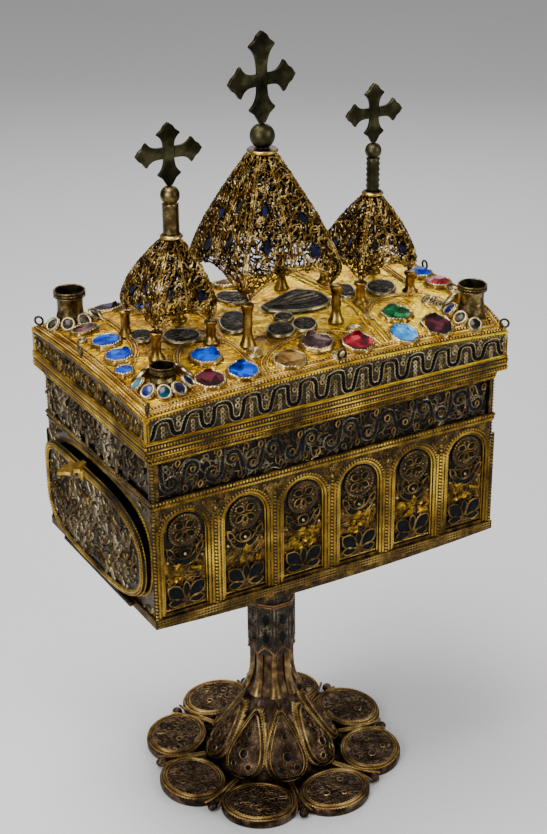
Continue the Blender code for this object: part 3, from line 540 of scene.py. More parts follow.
def arch_path(middle, radius, foot=168.2):
    """Up one side of an arch, round its head and down the other."""
    head = polar(radius, np.linspace(0, math.pi, 15), (middle, SPRING))
    return np.vstack(((middle + radius, foot), head, (middle - radius, foot)))


def cell(outline, place, lift, rim=0.7):
    """Enamel in a border of wire."""
    enamel.append(pane(outline, place, lift, 0.2))
    rims.append(border(outline, rim, 0.9, place, lift - 0.2))


def curve(*spots):
    """A smooth line through a few spots."""
    spots = np.array(spots, float)
    t = np.linspace(0, len(spots) - 1, 8 * len(spots))
    k = np.clip(t.astype(int), 0, len(spots) - 2)
    f = (t - k)[:, None]
    padded = np.vstack((2 * spots[0] - spots[1], spots, 2 * spots[-1] - spots[-2]))
    a, b, c, d = (padded[k + i] for i in range(4))
    return 0.5 * (2 * b + (c - a) * f + (2 * a - 5 * b + 4 * c - d) * f ** 2
                  + (3 * b - a - 3 * c + d) * f ** 3)


def beside(path, shift):
    """The path moved sideways."""
    return path + shift * directions(path)[1]


def ribbon(path, half, place, lift, fills, borders, size=0.9):
    """A ribbon of enamel between two twisted wires."""
    path = evenly(path, 0.9)
    fills.append(strip(path, half * 2, 0.6, place, lift))
    for s in (-1, 1):
        borders.append(rope(beside(path, s * half), size, place, lift, False, s))


def bead(u, v, size, place, lift):
    """A granule soldered to the ground."""
    rings = [place(*polar(size * c, around(8), (u, v)).T, np.full(8, lift + size * s))
             for c, s in ((1, 0), (0.75, 0.7), (0.03, 1))]
    grains.append(grid(rings, wrap=True))


def arcade(place, pitch, count, rich):
    """Pilasters and arches, with what stands in them."""
    mids = [(k - (count - 1) / 2) * pitch for k in range(count)]
    for edge in [m - pitch / 2 for m in mids] + [mids[-1] + pitch / 2]:
        outer = abs(edge) > (count - 0.5) * pitch / 2
        for k in (-1, 0, 1):
            if outer and k * edge > 0:
                continue
            line = [(edge + k * 1.9, 167.2), (edge + k * 1.9, 224.5 if k == 0 else 220.5)]
            if k:
                ropes.append(rope(line, 1.4, place, 0, False, k))
            else:
                beading(line, 1.9, 2.1, place, ropes, bead_shade_strips)
        if not outer:
            for s in (-1, 1):
                ribs.append(rope([(edge + s * 3.9, 167.5), (edge + s * 3.9, 216.5)], 1,
                                 place, 0, False, s))
            rims.append(wire(oval(1.4, 1.4, 12, (edge, 229.2)), 0.6, 0.9, place, closed=True))
            bead(edge, 229.2, 0.7, place, 0)
            bead(edge, 225.6, 0.9, place, 0)
    rims.extend(filigree(
        lambda u, v: min(math.hypot(u - m, v - SPRING) for m in mids) > ARCH + 4.8,
        ((mids[0] - pitch / 2 + 4, mids[-1] + pitch / 2 - 4), (220, 230.5)), 2.6, place,
        int(pitch * 100), 0.6, 0.8))
    for m in mids:
        ropes.append(rope(arch_path(m, ARCH + 0.8), 1.5, place))
        beading(arch_path(m, ARCH + 2.6, SPRING), 1.6, 1.9, place, ropes, bead_shade_strips)
        ribs.append(strip(arch_path(m, ARCH - 0.6), 0.8, 1.2, place, -SUNK))
        if not rich:
            # the outer arches of the end have one column of scrolls more
            reach = (m - 12, m + (12.1 if count == 3 and m else 12))
            rims.extend(filigree(
                lambda u, v: abs(u - m) < 11 and 171 < v < SPRING + math.sqrt(121 - (u - m) ** 2),
                (reach, (171, 228)), 4, place, int(m * 10) % 97, lift=-SUNK))
            continue
        # roundel: rope border, dark leaf above and two curls below
        hub, lift = (m, 216.8), -SUNK + 0.9
        beading(oval(9, 9, 40, hub), 1.3, 1.7, place, rims, bead_shade_strips, lift, True)
        for s in (-1, 1):
            cell(leaf((m + s * 0.6, 218.8), (m + s * 5.8, 221.2), 2.1), place, lift + 0.3, 0.6)
            cell(leaf((m + s * 0.8, 216.4), (m + s * 6, 212.8), 1.8), place, lift + 0.3, 0.6)
            t = np.linspace(0, 1, 14)
            curl = np.stack((m + s * (0.6 + 2.8 * t * np.cos(4.5 * t)),
                             214 + 3.6 * t * np.sin(4.5 * t)), 1)
            rims.append(wire(curl, 0.7, 1, place, lift))
        cell(leaf((m, 216.2), (m, 211.2), 1.7), place, lift + 0.3)
        for spot in polar(6.3, around(14), hub):
            bead(*spot, 0.45, place, lift)
        # crescent with upturned horns round a dark eye
        t = np.linspace(math.radians(196), math.radians(344), 16)
        outer = polar(9.8, t, (m, 205.2))
        inner = np.stack((m + 6.6 * np.cos(t[::-1]), 205.6 + 6.2 * np.sin(t[::-1])), 1)
        cell(np.vstack((outer, inner)), place, -SUNK + 0.6)
        for s in (-1, 1):
            cell(leaf((m + s * 6.8, 201), (m + s * 10.6, 207.8), 1.7), place, -SUNK + 0.7)
        cell(oval(3.4, 3, 16, (m, 203)), place, -SUNK + 0.7)
        bead(m, 202.4, 1, place, -SUNK + 1)
        # crumpled gilt foil
        random = np.random.default_rng(int(abs(m) * 100) + 3)
        for _ in range((3, 2, 11, 6, 9, 4)[mids.index(m)]):
            us = random.uniform(m - 8.5, m + 8.5)
            us = us + np.linspace(-1, 1, 5) * random.uniform(1.4, 3.6)
            vs = random.uniform(187.2, 196.2) + np.linspace(-1, 1, 4) * random.uniform(1, 2.2)
            foils.append(grid([place(us + random.normal(0, 0.5, 5), v + random.normal(0, 0.5, 5),
                                     -SUNK + 0.4 + random.uniform(0, 1.2, 5)) for v in vs]))
        for s in (-1, 1):
            bead(m + s * 10.4, 199, 0.9, place, -SUNK + 0.3)
        # palmette: two spread leaves, a small one between and volutes at its foot
        lift = -SUNK + 1.1
        for s in (-1, 1):
            cell(leaf((m + s * 1, 175.2), (m + s * 10.8, 183.8), 4, 1.3), place, lift)
            cell(leaf((m + s * 1.4, 173.8), (m + s * 10.8, 174.2), 2.4, 1.2), place, lift)
            t = np.linspace(0, 1, 14)
            ring = np.stack((m + s * (7.2 - 2.2 * np.cos(6.0 * t) * (1 - 0.5 * t)),
                             171.4 + 1.6 * np.sin(6.0 * t) * (1 - 0.5 * t)), 1)
            rims.append(wire(ring, 0.7, 1.1, place, -SUNK))
        cell(leaf((m, 175.2), (m, 185.6), 2.1, 1.3), place, lift)
        ropes.append(rope([(m - 12, 169.7), (m + 12, 169.7)], 1.2, place, -SUNK))
        rims.extend(filigree(lambda u, v: abs(u - m) < 11.8 and 171 < v < 210,
            ((m - 12, m + 12), (171, 210)), 4.6, place, int(abs(m) * 10) % 89, 0.5, 0.8, -SUNK))
        for _ in range(14):
            bead(m + random.uniform(-11.5, 11.5), random.uniform(171, 206),
                 random.uniform(0.4, 0.7), place, -SUNK)


arcade(front, 36.6, 6, True)
arcade(back, 36.6, 6, False)
arcade(right, 40.5, 3, False)


def scroll_band(place, half, seed):
    """A vine of enamelled ribbon: tendrils rolled up in turn and over, with eyes between."""
    random = np.random.default_rng(seed)
    lift, low, high = -SUNK, 238.4, 258.8
    mid, pitch = (low + high) / 2, 12.2
    count = int((2 * half - 4) / pitch)
    for k in range(count):
        u = -half + 2 + (k + 0.5) * (2 * half - 4) / count
        flip = 1 if k % 2 else -1
        hand = random.choice((-1, 1, 1))
        big = 5 * random.uniform(0.9, 1.06)
        turn = np.linspace(0, random.uniform(4.4, 6.6), 22)
        size = big * (1 - 0.11 * turn)
        hub = (u + random.uniform(-0.6, 0.6), mid + flip * 2.6)
        roll = hub + polar(size, turn) * (hand, flip)
        stalk = curve((u + hand * 6.2, mid - flip * 8.8), (u + hand * 6, mid - flip * 4),
                      (hub[0] + hand * big, hub[1]))
        ribbon(np.vstack((stalk[:-2], roll)), 1.2, place, lift + 0.1, shades, courses, 1.2)
        r = random.uniform(1.1, 1.7)
        cell(oval(r, r * 1.15, 14, hub), place, lift + 0.6)
        for s in (-1, 1):
            spot = (u + s * 3.6 + random.uniform(-0.6, 0.6), mid - flip * random.uniform(6.2, 8))
            if k % 3 == 1 or s > 0:
                cell(leaf((spot[0], spot[1] - 2), (spot[0] + s * 1.2, spot[1] + 2.2), 1.2),
                     place, lift + 0.5)
            else:
                courses.append(wire(oval(1.4, 1.6, 14, spot), 0.7, 1.1, place, lift, True))
        bead(u + 5.8, mid + random.uniform(-8, 8), 0.7, place, lift)
    courses.extend(filigree(lambda a, b: True, ((-half + 3, half - 3), (low + 1, high)),
                            5.8, place, seed + 7, 0.7, 0.7, lift))


for place, half, seed in ((front, HALF_W, 11), (back, HALF_W, 23), (right, HALF_D, 35)):
    scroll_band(place, half - 4.2, seed)

left_wires = filigree(lambda u, v: abs(u) < 64 and 169 < v < 263
    and ((abs(u) / 70) ** 3 + (abs(v - 199.4) / 36.2) ** 3 > 1) and not 230.5 < v < 240,
    ((-63, 63), (170, 262)), 6.2, left, 5, 1, 1.5, -0.2)
t = around(120)
c, s = np.cos(t), np.sin(t)
mouth = np.stack((66 * np.sign(c) * np.abs(c) ** 0.667, 199.6 + 32.2 * np.sign(s) *
                  np.abs(s) ** 0.667), 1)
ropes.append(rope(mouth, 1.5, left, 0, True))

# courses of rope all round, and the twisted corner posts
base_ropes = []
for place, half in ((front, HALF_W), (back, HALF_W), (right, HALF_D), (left, HALF_D)):
    dull = base_ropes if place is left else ropes
    for v, size, lift, hand in ((234, 1.7, 0.5, 1), (236.4, 1.7, 0.5, -1), (260.3, 1.4, 0.3, 1),
            (262.4, 1.4, 0.3, -1), (166.3, 1.3, 1.2, 1), (164.7, 1.3, 1.2, 1), (163, 1.2, 1.2, 1)):
        over = half - 1 + lift
        course = base_ropes if v < 170 else dull
        if hand > 0:
            course.append(rope([(-over, v), (over, v)], size, place, lift - 0.2, False, hand))
        else:
            beading([(-over, v), (over, v)], size, 2, place, course, bead_shade_strips, lift - 0.2)
for x, y in CORNERS:
    spot = np.array((x * (HALF_W - 1.2), y * (HALF_D - 1.2), 0))
    out = np.array((x, y, 0)) / math.sqrt(2)
    place = plane(spot, (-out[1], out[0], 0), (0, 0, 1), out)
    for shift, size in ((0, 1.7), (1.8, 1.4), (-1.8, 1.4)):
        for low, high in ((167.5, 233), (237.8, 259.4)):
            if shift:
                ropes.append(rope([(shift, low), (shift, high)], size, place, -0.9))
            else:
                beading([(0, low), (0, high)], size, 2, place, ropes, bead_shade_strips, 0.2)

# gilt silver wire in six states of wear: from brown, through the yellow of the ropes, to
# grey tarnish and the pale silver of rubbed crowns
wire_brown = worn_metal("worn gilt wire", "2c2010", "66502a", "a88a4c", 0.40, 9)
wire_ochre = worn_metal("dulled gilt wire", "46320f", "9a7828", "e6c252", 0.34, 26)
wire_olive = worn_metal("gilt wire rubbed brown", "30230f", "705626", "b49850", 0.36, 18)
wire_grey = worn_metal("tarnished silver wire", "3c3226", "796a50", "beae8c", 0.36, 26)
wire_band = worn_metal("tarnished gilt wire", "261f16", "584c38", "9a8c6c", 0.36, 8)
wire_pale = worn_metal("rubbed silver wire", "5c5039", "9c8c64", "d2c598", 0.32, 8)
# thin gilt foil, crumpled under the cells: small bright flats
foil_gold = worn_metal("crumpled gilt foil", "3e2c0a", "86661a", "cca030", 0.30, 3, 0.30, 0.08)
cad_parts["casket_body"].data.materials[0] = gilt_ground
piece("body_ropes", ropes, wire_ochre)
piece("body_base_ropes", base_ropes, wire_olive)
piece("body_ribs", ribs, wire_ochre)
# dark strips under the beaded wires of the box: painted shade between the beads
piece("body_rope_ground", bead_shade_strips, ground)
piece("body_wires", rims, wire_brown)
piece("body_scroll_wires", courses, wire_band)
piece("body_enamel", enamel, navy)
piece("body_scroll_enamel", shades, enamel_dark)
piece("body_foil", foils, foil_gold, smooth=False)
piece("body_granules", grains, wire_pale)
piece("body_left_filigree", left_wires, wire_grey)


# End door
# Flap hinged along the foot of the left end, packed with silver filigree round a few small
# enamelled eyes inside a gilt rope rim. The catch on its upper edge is cast brass.

def squareness(u, v):
    """How squared off the door's outline is: most towards the back."""
    return np.where(np.asarray(u) > 0, 2.6, np.where(np.asarray(v) > 0, 6.5, 3.4))


def squared(inset):
    """The door's outline, drawn in by an inset."""
    c, s = polar(1, around(160)).T
    power = 2 / squareness(c, s)
    return np.stack(((DOOR_W - inset) * np.sign(c) * np.abs(c) ** power,
                     DOOR_MID + (DOOR_H - inset) * np.sign(s) * np.abs(s) ** power), 1)


# cast brass, rubbed smooth: the lightest yellow metal
brass = worn_metal("rubbed cast brass", "8a651f", "c09a3e", "e8cf86", 0.28, 5, 0.40, 0.04)
door_face = wall((-114.6, 0, 0), (0, -1))
DOOR_MID, DOOR_W, DOOR_H, PANEL = 195.85, 64.5, 29.65, 0.9
rims, eyes, wires, thick = [], [], [], []
for inset, size, hand in ((1, 1.5, 1), (3.3, 1.4, -1)):
    rims.append(rope(squared(inset), size, door_face, 0, True, hand))
rims.append(border(squared(2.2), 1, 0.8, door_face))


def in_door(u, v, margin):
    """Whether a spot lies inside the door, clear of its edge by a margin."""
    across, up = abs(u) / (DOOR_W - margin), abs(v - DOOR_MID) / (DOOR_H - margin)
    power = squareness(u, v - DOOR_MID)
    return across ** power + up ** power < 1


wires += filigree(lambda u, v: in_door(u, v, 6), ((-64, 64), (166.5, 225.5)), 6.4,
                  door_face, 61, 1, 1.7, -PANEL)
random = np.random.default_rng(8)
for u in np.arange(-54, 56, 9.2):
    for v in (DOOR_MID - 17, DOOR_MID - 3, DOOR_MID + 12):
        spot = np.array((u, v)) + random.uniform(-2.6, 2.6, 2)
        if not in_door(*spot, 8):
            continue
        path = scroll(spot, 18.5, random.choice((3.9, -4.3)), random.uniform(0.8, 2.4), 22)
        if random.random() < 0.5:
            thick.append(wire(path, 1, 1.8, door_face, -PANEL))
        if random.random() < 0.45:
            r = random.uniform(1.3, 2.1)
            eyes.append(pane(oval(r, r, 12, spot), door_face, -PANEL + 0.6, 0.2))
            thick.append(wire(oval(r, r, 12, spot), 0.6, 1.4, door_face, -PANEL, True))
edging = squared(0)
edging = np.roll(edging, -int(np.argmin(edging[:, 1])), 0)
edging = edging[edging[:, 1] > DOOR_MID - 22]
rims.append(rope(edging, 1.2, door_face, -1.8))
for u in (-10.5, -7.2):
    rims.append(strip([(u, DOOR_MID + 23.8), (u, DOOR_MID + 29.2)], 0.9, 1.6, door_face, 1))

# opaque enamel: cloudy cells of lilac, teal and grey with a soft shine
lilac = mottled("clouded lilac and teal enamel", 150, [(0.0, "3a3344"), (0.3, "6a5f74"),
    (0.5, "24434a"), (0.7, "1a2036"), (1.0, "57707a")], cells="Green", Roughness=0.22)
# tarnished silver: a dull black ground with a few brown and greenish clouds
end_ground = mottled("tarnished ground", 300, [(0.32, "080706"), (0.50, "141110"),
    (0.62, "241c14"), (0.78, "1a1e1c")], 5, Metallic=0.4, Roughness=0.5)
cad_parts["end_door"].data.materials[0] = end_ground
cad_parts["door_clasp"].data.materials[0] = brass
piece("door_rim", rims, wire_ochre, "door")
piece("door_filigree", wires, wire_grey, "door")
piece("door_scrolls", thick, wire_brown, "door")
piece("door_eyes", eyes, lilac, "door")


# Lid
# Heavy gilt plate on an upright rim, lifting off the box. The rim carries a meander of
# doubled wire over dark enamel above two rope courses; the plate has rope borders, bands
# soldered across it and wire-edged cells, and painted light makes its gold brightest towards the
# right.

LID_W, LID_D = 228, 147


def lid_top(x, y):
    """Height of the plate, which arches up towards its right end."""
    u, v = np.minimum(1, np.abs(x) / (LID_W / 2)), np.minimum(1, np.abs(y) / (LID_D / 2))
    right = np.clip(np.asarray(x) / LID_W + 0.5, 0, 1) ** 2
    return (288 + 4.5 * (1 - u ** 2) + 3 * (1 - right) * (1 - v ** 2)
            + 12.5 * right * (1 - v ** 4) + 2.2 * (1 - u ** 4) * (1 - v ** 4))


def lid_plate(u, v, h):
    """The top of the lid: u is x, v is y."""
    u, v, h = np.broadcast_arrays(*(np.asarray(x, float) for x in (u, v, h)))
    return np.column_stack((u, v, lid_top(u, v) + h + 0.2))


# thick mercury gilding on beaten sheet: deep yellow, painted brighter towards the right as light
# falling there, uneven from the hammer, with brown dirt in fine specks; these places are in metres
plate_gold, tree, shader, where = fresh("gilt plate, painted light to the right")
broad = node(tree, "TexNoise", Vector=where, Scale=55.0, Detail=7.0, Roughness=0.65)
# painted light: the gold is lifted towards the right of the plate, where the light falls
rubbed = node(tree, "MapRange", Value=node(tree, "SeparateXYZ", out="X", Vector=where),
              From_Min=-0.060, From_Max=0.060, To_Min=-0.05, To_Max=0.10)
gilding = node(tree, "Math", {"operation": "ADD"}, i0=broad, i1=rubbed)
colour = node(tree, "ValToRGB", {"stops": [(0.32, "6a480c"), (0.43, "ae800e"), (0.54, "eaba18"),
    (0.62, "ffe038")]}, Fac=gilding)
fine = node(tree, "TexNoise", Vector=where, Scale=420.0, Detail=4.0)
dirt = node(tree, "MapRange", Value=fine, From_Min=0.28, From_Max=0.40)
bump = node(tree, "Bump", Height=broad, Strength=0.5, Distance=0.0016)
feed(shader, Metallic=1.0, Roughness=0.44, Base_Color=node(tree, "Mix", {"data_type": "RGBA"}, 2,
    i0=dirt, i6=linear("6e4c20"), i7=colour), Normal=node(tree, "Bump", Height=fine, Strength=0.4,
    Distance=0.0002, Normal=bump))

ropes, strips, bead_shades, enamel, rims, grains, under = [], [], [], [], [], [], []


def round_lid(inset):
    """A loop round the plate, in from its edge."""
    return [(x * (LID_W / 2 - inset), y * (LID_D / 2 - inset)) for x, y in CORNERS]


for inset, size in ((1.6, 1.3), (6.6, 1.4)):
    beading(round_lid(inset), size, 2, lid_plate, ropes, bead_shades, 0.0, True)
    if inset < 3:
        ropes.append(rope(evenly(round_lid(3.3), 2, True), 1.2, lid_plate, 0, True, -1))
for inset, width in ((5, 0.9), (8.2, 0.8)):
    strips.append(border(evenly(round_lid(inset), 3, True), width, 0.6, lid_plate))


def band(path, half, core=1.1):
    """A flat strip soldered to the plate with a rope along either side."""
    path = evenly(path, 2)
    strips.append(strip(path, core * 2, 0.7, lid_plate))
    for s in (-1, 1):
        beading(beside(path, s * half), 1.1, 1.8, lid_plate, ropes, bead_shades)


band([(-32, 12), (-30, 64.5)], 2.5)
band(curve((44, 64), (42.5, 25), (45.5, -16), (39, -48), (37.5, -66)), 3.6, 1)
band(curve((96, 48), (94.7, 31.5), (91.2, 9), (88.2, -13.3)), 1.8, 0.7)
band(curve((-78, 56), (-79, 25), (-83.5, 0), (-93, -16), (-105, -25)), 1.6, 0.7)
band(polar(26, np.radians(np.linspace(12, 168, 24)), (66.5, -47)), 1.7, 0.8)
band(curve((-79, -65), (-77.5, -45), (-72.9, -29.1), (-63.7, -16), (-50, -14), (-40.5, -25),
           (-40, -45), (-42, -66)), 1.5, 0.7)
band(curve((-37.5, -67), (-34.5, -56), (-20.6, -45), (-3.7, -41), (13, -43), (30, -57),
           (33, -67)), 1.5, 0.6)


def lid_cell(outline):
    """Enamel in a wire border standing on a wider dark collar."""
    outline = np.asarray(outline, float)
    middle = outline.mean(0)
    under.append(pane(middle + (outline - middle) * 1.14, lid_plate, 0.0, 0.6))
    enamel.append(pane(outline, lid_plate, 1.1, 0.6))
    rims.append(border(outline, 1, 1.8, lid_plate))


def skewed(centre, across, up, count=36, scale=1.0):
    """An oval from its centre and two half axes."""
    return np.array(centre) + polar(scale, around(count)) @ np.array((across, up))


CELLS = (
    ((-74.9, 10.1), (4.5, -4), (3.6, 7)),
    ((-57.3, -4.6), (7.9, -6.3), (4.2, 8)),
    ((-25.3, -5.5), (6.3, -4.7), (7, 12.5)),
    ((-9, -29.6), (6.2, -4.2), (4.2, 7)),
    ((5.5, -30.6), (5.4, -3.6), (4.4, 7.2)),
    ((0.9, -15.8), (4.2, -3.1), (2.8, 4.6)),
    ((70.3, -8.5), (6.9, -4.2), (6, 9.5)),
    ((49.9, -3.2), (3.9, -2.6), (5, 8.5)),
    ((-8, 28), (8, 1), (-1, 11)))
for centre, across, up in CELLS:
    lid_cell(skewed(centre, across, up))
    wide, tall = across[0] * 0.6, up[1] * 0.6
    under += filigree(lambda u, v: True, ((centre[0] - wide, centre[0] + wide),
        (centre[1] - tall, centre[1] + tall)), 4, lid_plate, int(abs(centre[0]) * 10), 0.5, 0.5,
        1.4, STRIP)
# the large leaf-shaped cell, with its veins
lid_cell(curve((-1.4, 4.6), (9.9, 9.4), (26.4, 14.8), (35.6, 4.3), (32.7, -12.3), (18.5, -15),
               (5.5, -9.4), (-1.6, -2.6)))
for shift in (-7, -2.5, 2, 6.5):
    vein = curve((3, 0.0), (13, shift * 0.7 - 0.2), (24, shift), (31.5, shift * 0.8))
    under.append(strip(vein, 0.8, 0.8, lid_plate, 1.5))

# small open settings between the stones, and gold filigree over the whole plate
for centre, across, up in (
        ((26.5, -48.9), (4, -2.1), (2, 3.4)),
        ((-34.6, -45.5), (3.5, -2.2), (2.5, 4.2)), ((84.4, -37.5), (4, -1.9), (3.4, 4.8)),
        ((87.2, -46.2), (4, -1.7), (3, 4)), ((5.2, -67.2), (3.8, -1.4), (1.4, 3.2)),
        ((106, -31), (3.6, 0.0), (0.0, 4.4)), ((101, 30), (4, 0.0), (0.0, 4.4)),
        ((-102, 29), (2.6, 0.0), (0.0, 2.6)), ((30, 56), (4.4, 0.0), (0.0, 4)),
        ((60, 56), (4.4, 0.0), (0.0, 4))):
    for k in (1.0, 0.6):
        rims.append(border(skewed(centre, across, up, 22, k), 0.9, 1.5, lid_plate))
    grains.append(pane(skewed(centre, across, up, 10, 0.3), lid_plate, 0.0, 1.4))
lace = filigree(lambda u, v: True, ((-103.5, 103.5), (-63, 64)), 6.8, lid_plate, 31,
                0.6, 0.22, count=11)


# each side of the rim: its chart, half length, and the plate's height along it
sides = (
    (wall((0, -LID_D / 2, 0), (1, 0)), LID_W / 2, lambda u: lid_top(u, -LID_D / 2)),
    (wall((0, LID_D / 2, 0), (-1, 0)), LID_W / 2, lambda u: lid_top(-u, LID_D / 2)),
    (wall((LID_W / 2, 0, 0), (0, 1)), LID_D / 2, lambda u: lid_top(LID_W / 2, u)),
    (wall((-LID_W / 2, 0, 0), (0, -1)), LID_D / 2, lambda u: lid_top(-LID_W / 2, -u)))
LOW, FRIEZE_SUNK = 274.2, 1.3
frieze_ground, frieze_enamel, frieze_wires, frieze_fill, moulding = [], [], [], [], []
# fired enamel worn by dust: black and even on the frieze, greyer and matt on the top
black_enamel = mottled("black enamel", 180, [(0.36, "030303"), (0.50, "070707"), (0.62, "090e0f"),
    (0.74, "120e15")], 3, Roughness=0.40, Specular_IOR_Level=0.06)
worn_cell = mottled("dusty dark enamel", 240, [(0.34, "070706"), (0.50, "171512"),
    (0.66, "4c473c")], 6, lumpy=0.65, Roughness=0.55, Specular_IOR_Level=0.05)

for index, (place, half, edge) in enumerate(sides):
    us = np.linspace(2.4 - half, half - 2.4, 61)

    def frieze(u, v, h):
        """The side, sunk in its frieze and rising again to the rim at the top."""
        climb = np.clip(v - edge(u) + 4.8, 0, 1)
        return place(u, v, h * (1 - 0.8 * climb) + FRIEZE_SUNK * (climb - 1) + 0.1)

    rows = [frieze(us, level + 0 * us, 0 * us)
            for level in (LOW, edge(us) - 4.8, edge(us) - 3.7, edge(us) - 2.1)]
    frieze_ground.append(grid(rows))
    # the beadings lay their dark strips of painted shade on the frieze ground
    for v, size in ((271.3, 1.9), (267, 1.6)):
        beading([(-half, v), (half, v)], size, 1.8, place, moulding, frieze_ground)
    for v, size in ((273.4, 0.9), (269.1, 1), (265.7, 0.8)):
        moulding.append(strip([(-half, v), (half, v)], size, 0.7, place))
    # thin dark strips between the moulding courses: painted shade in the gaps
    for v, size in ((272.6, 0.6), (270.1, 0.7), (268.1, 0.7)):
        frieze_ground.append(strip([(-half, v), (half, v)], size, 0.3, place))
    beading(np.stack((us, edge(us) - 1.3), 1), 1.2, 1.9, place, moulding, frieze_ground)
    for corner in (-1, 1):
        for shift, size in ((0.6, 1.4), (2.2, 1.2)):
            u = corner * (half - shift)
            moulding.append(rope([(u, LOW), (u, float(edge(u)) - 3)], size, place,
                                 -0.6, False, corner))
    if index == 0:
        for k, m in enumerate(np.arange(-103.2, 104, 17.2)):
            top, low = float(edge(m)) - 4, LOW + 1.6
            sway = (0.0, 0.7, -0.5)[k % 3]
            path = curve((m - 8.6, low), (m - 7.4, low), (m - 6.2, low + 1.2), (m - 5.4, low + 4),
                (m - 4.4 + sway, top - 2.4), (m - 2.6 + sway, top - 0.3), (m + 1 + sway, top),
                (m + 3.6 + sway, top - 1), (m + 4.6, top - 3.6), (m + 5, low + 3),
                (m + 6, low + 0.8), (m + 7.4, low), (m + 8.6, low))
            ribbon(path, 1.3, frieze, 0.1, frieze_enamel, frieze_wires, 0.9)
            for v in np.arange(low - 0.2, top - 4, 2.4):
                frieze_wires.append(wire(oval(0.9, 1, 10, (m - 0.3, v)), 0.6, 1.1, frieze,
                    closed=True))
            for v in (top - 0.4, top - 3.8):
                frieze_wires.append(wire(oval(1.1, 1.3, 12, (m + 8.6, v)), 0.6, 1.2, frieze,
                    closed=True))
    width, tall = (0.5, 0.5) if index == 0 else (0.8, 1.2)
    frieze_fill += filigree(lambda u, v: LOW + 1 < v < float(edge(u)) - 3,
        ((-half + 4, half - 4), (LOW, 299)), 4.2, frieze, 70 + index, width, tall)
    if index:
        random = np.random.default_rng(90 + index)
        for u in np.arange(-half + 7, half - 6, 10.5):
            v = random.uniform(LOW + 4, float(edge(u)) - 8)
            r = random.uniform(1.6, 2.4)
            frieze_enamel.append(pane(oval(r, r, 14, (u, v)), frieze, 0.6, 0.2))
            frieze_wires.append(wire(oval(r, r, 14, (u, v)), 0.7, 1.3, frieze, closed=True))
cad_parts["lid"].data.materials[0] = plate_gold
piece("lid_ropes", ropes, gilt)
piece("lid_bands", strips, gilt)
# dark strips under the beaded wires of the plate: painted shade between the beads
piece("lid_grooves", bead_shades, sheet_brown)
piece("lid_cell_collars", under, wire_dark)
piece("lid_cells", enamel, worn_cell)
piece("lid_cell_rims", rims, wire_pale)
piece("lid_granules", grains, gilt)
piece("lid_lace", lace, plate_gold)
piece("lid_frieze_ground", frieze_ground, ground)
piece("lid_frieze_enamel", frieze_enamel, black_enamel)
piece("lid_frieze_wires", frieze_wires, wire_pale)
piece("lid_frieze_filling", frieze_fill, wire_brown)
piece("lid_mouldings", moulding, wire_ochre)


# Stones
# Faceted glass and stones in closed gilt settings, each edged with a beaded silver wire and
# standing on a dark collar; the cups let little light through, so they are deep coloured.

def gem(name, dark, middle, bright, shine=0.4):
    """Polished stone whose colour drifts between its facets."""
    material, tree, shader, where = fresh(name)
    cells = node(tree, "TexVoronoi", out="Color", Vector=where, Scale=190.0)
    tone = node(tree, "SeparateColor", out="Red", Color=cells)
    cloud = node(tree, "TexNoise", Vector=where, Scale=120.0, Detail=2.0)
    both = node(tree, "Math", {"operation": "MULTIPLY_ADD"}, i0=tone, i1=0.30, i2=cloud)
    stops = [(0.44, dark), (0.64, middle), (0.86, bright)]
    feed(shader, Base_Color=node(tree, "ValToRGB", {"stops": stops}, Fac=both), Roughness=0.18,
         Specular_IOR_Level=shine)
    return material


# glass and stone over foil in closed cups: saturated, dark at the rim, weakly shining
GEMS = {
    "blue": gem("blue stone", "000a34", "01268a", "0650c4", 0.10),
    "garnet": gem("garnet", "0e0203", "26060b", "52202a", 0.25),
    "ruby": gem("ruby glass", "24020a", "6a0814", "b43038", 0.3),
    "emerald": gem("emerald", "01180b", "064a24", "2f9258", 0.3),
    "turquoise": gem("pale blue glass", "12508e", "2c86c4", "92d0ee", 0.3),
    "amethyst": gem("amethyst", "120807", "301c1a", "6e5450", 0.25),
    "quartz": gem("brown quartz", "2c1c0b", "5a3f1c", "8a6c3c", 0.25),
    "smoky": gem("smoky stone", "0c0911", "201b29", "4c4558", 0.25),
}
# name, place and half sizes, then turn and number of sides where it isn't a plain octagon
STONES = (
    ("blue_front_1", -59, -36, 7.8, 8.8),
    ("blue_front_2", -49.5, -60, 7.8, 8.2),
    ("garnet_front_1", -69, -59.5, 7.6, 8),
    ("quartz_front", -22.2, -61.6, 8.6, 7.4),
    ("amethyst_front", 0, -53, 8.8, 8, 22.5, 8),
    ("ruby_front", 20.6, -61.8, 8.6, 7.8),
    ("emerald_right", 56.8, -45, 8.8, 8, 30, 6),
    ("turquoise_right", 49.5, -63.4, 7.8, 7.6),
    ("garnet_right", 72.5, -62.6, 9, 8.4, 30, 6),
    ("blue_left_1", -93.2, 16, 7.6, 8),
    ("blue_left_2", -95.8, -5.8, 7.2, 7.4),
    ("blue_left_3", -101.5, -24, 4.6, 5, 0, 6),
    ("amethyst_left", -95.2, 40.8, 7.4, 6),
    ("smoky_back", -70, 64.5, 8, 6.8),
    ("blue_back", -53.5, 47, 7.4, 7),
    ("quartz_back", 3, 52, 8.4, 7),
    ("blue_right", 103.5, 0, 7, 7.4),
    ("ruby_right", 104, -18.5, 7.2, 7),
)
collars, rings, walls = [], [], []
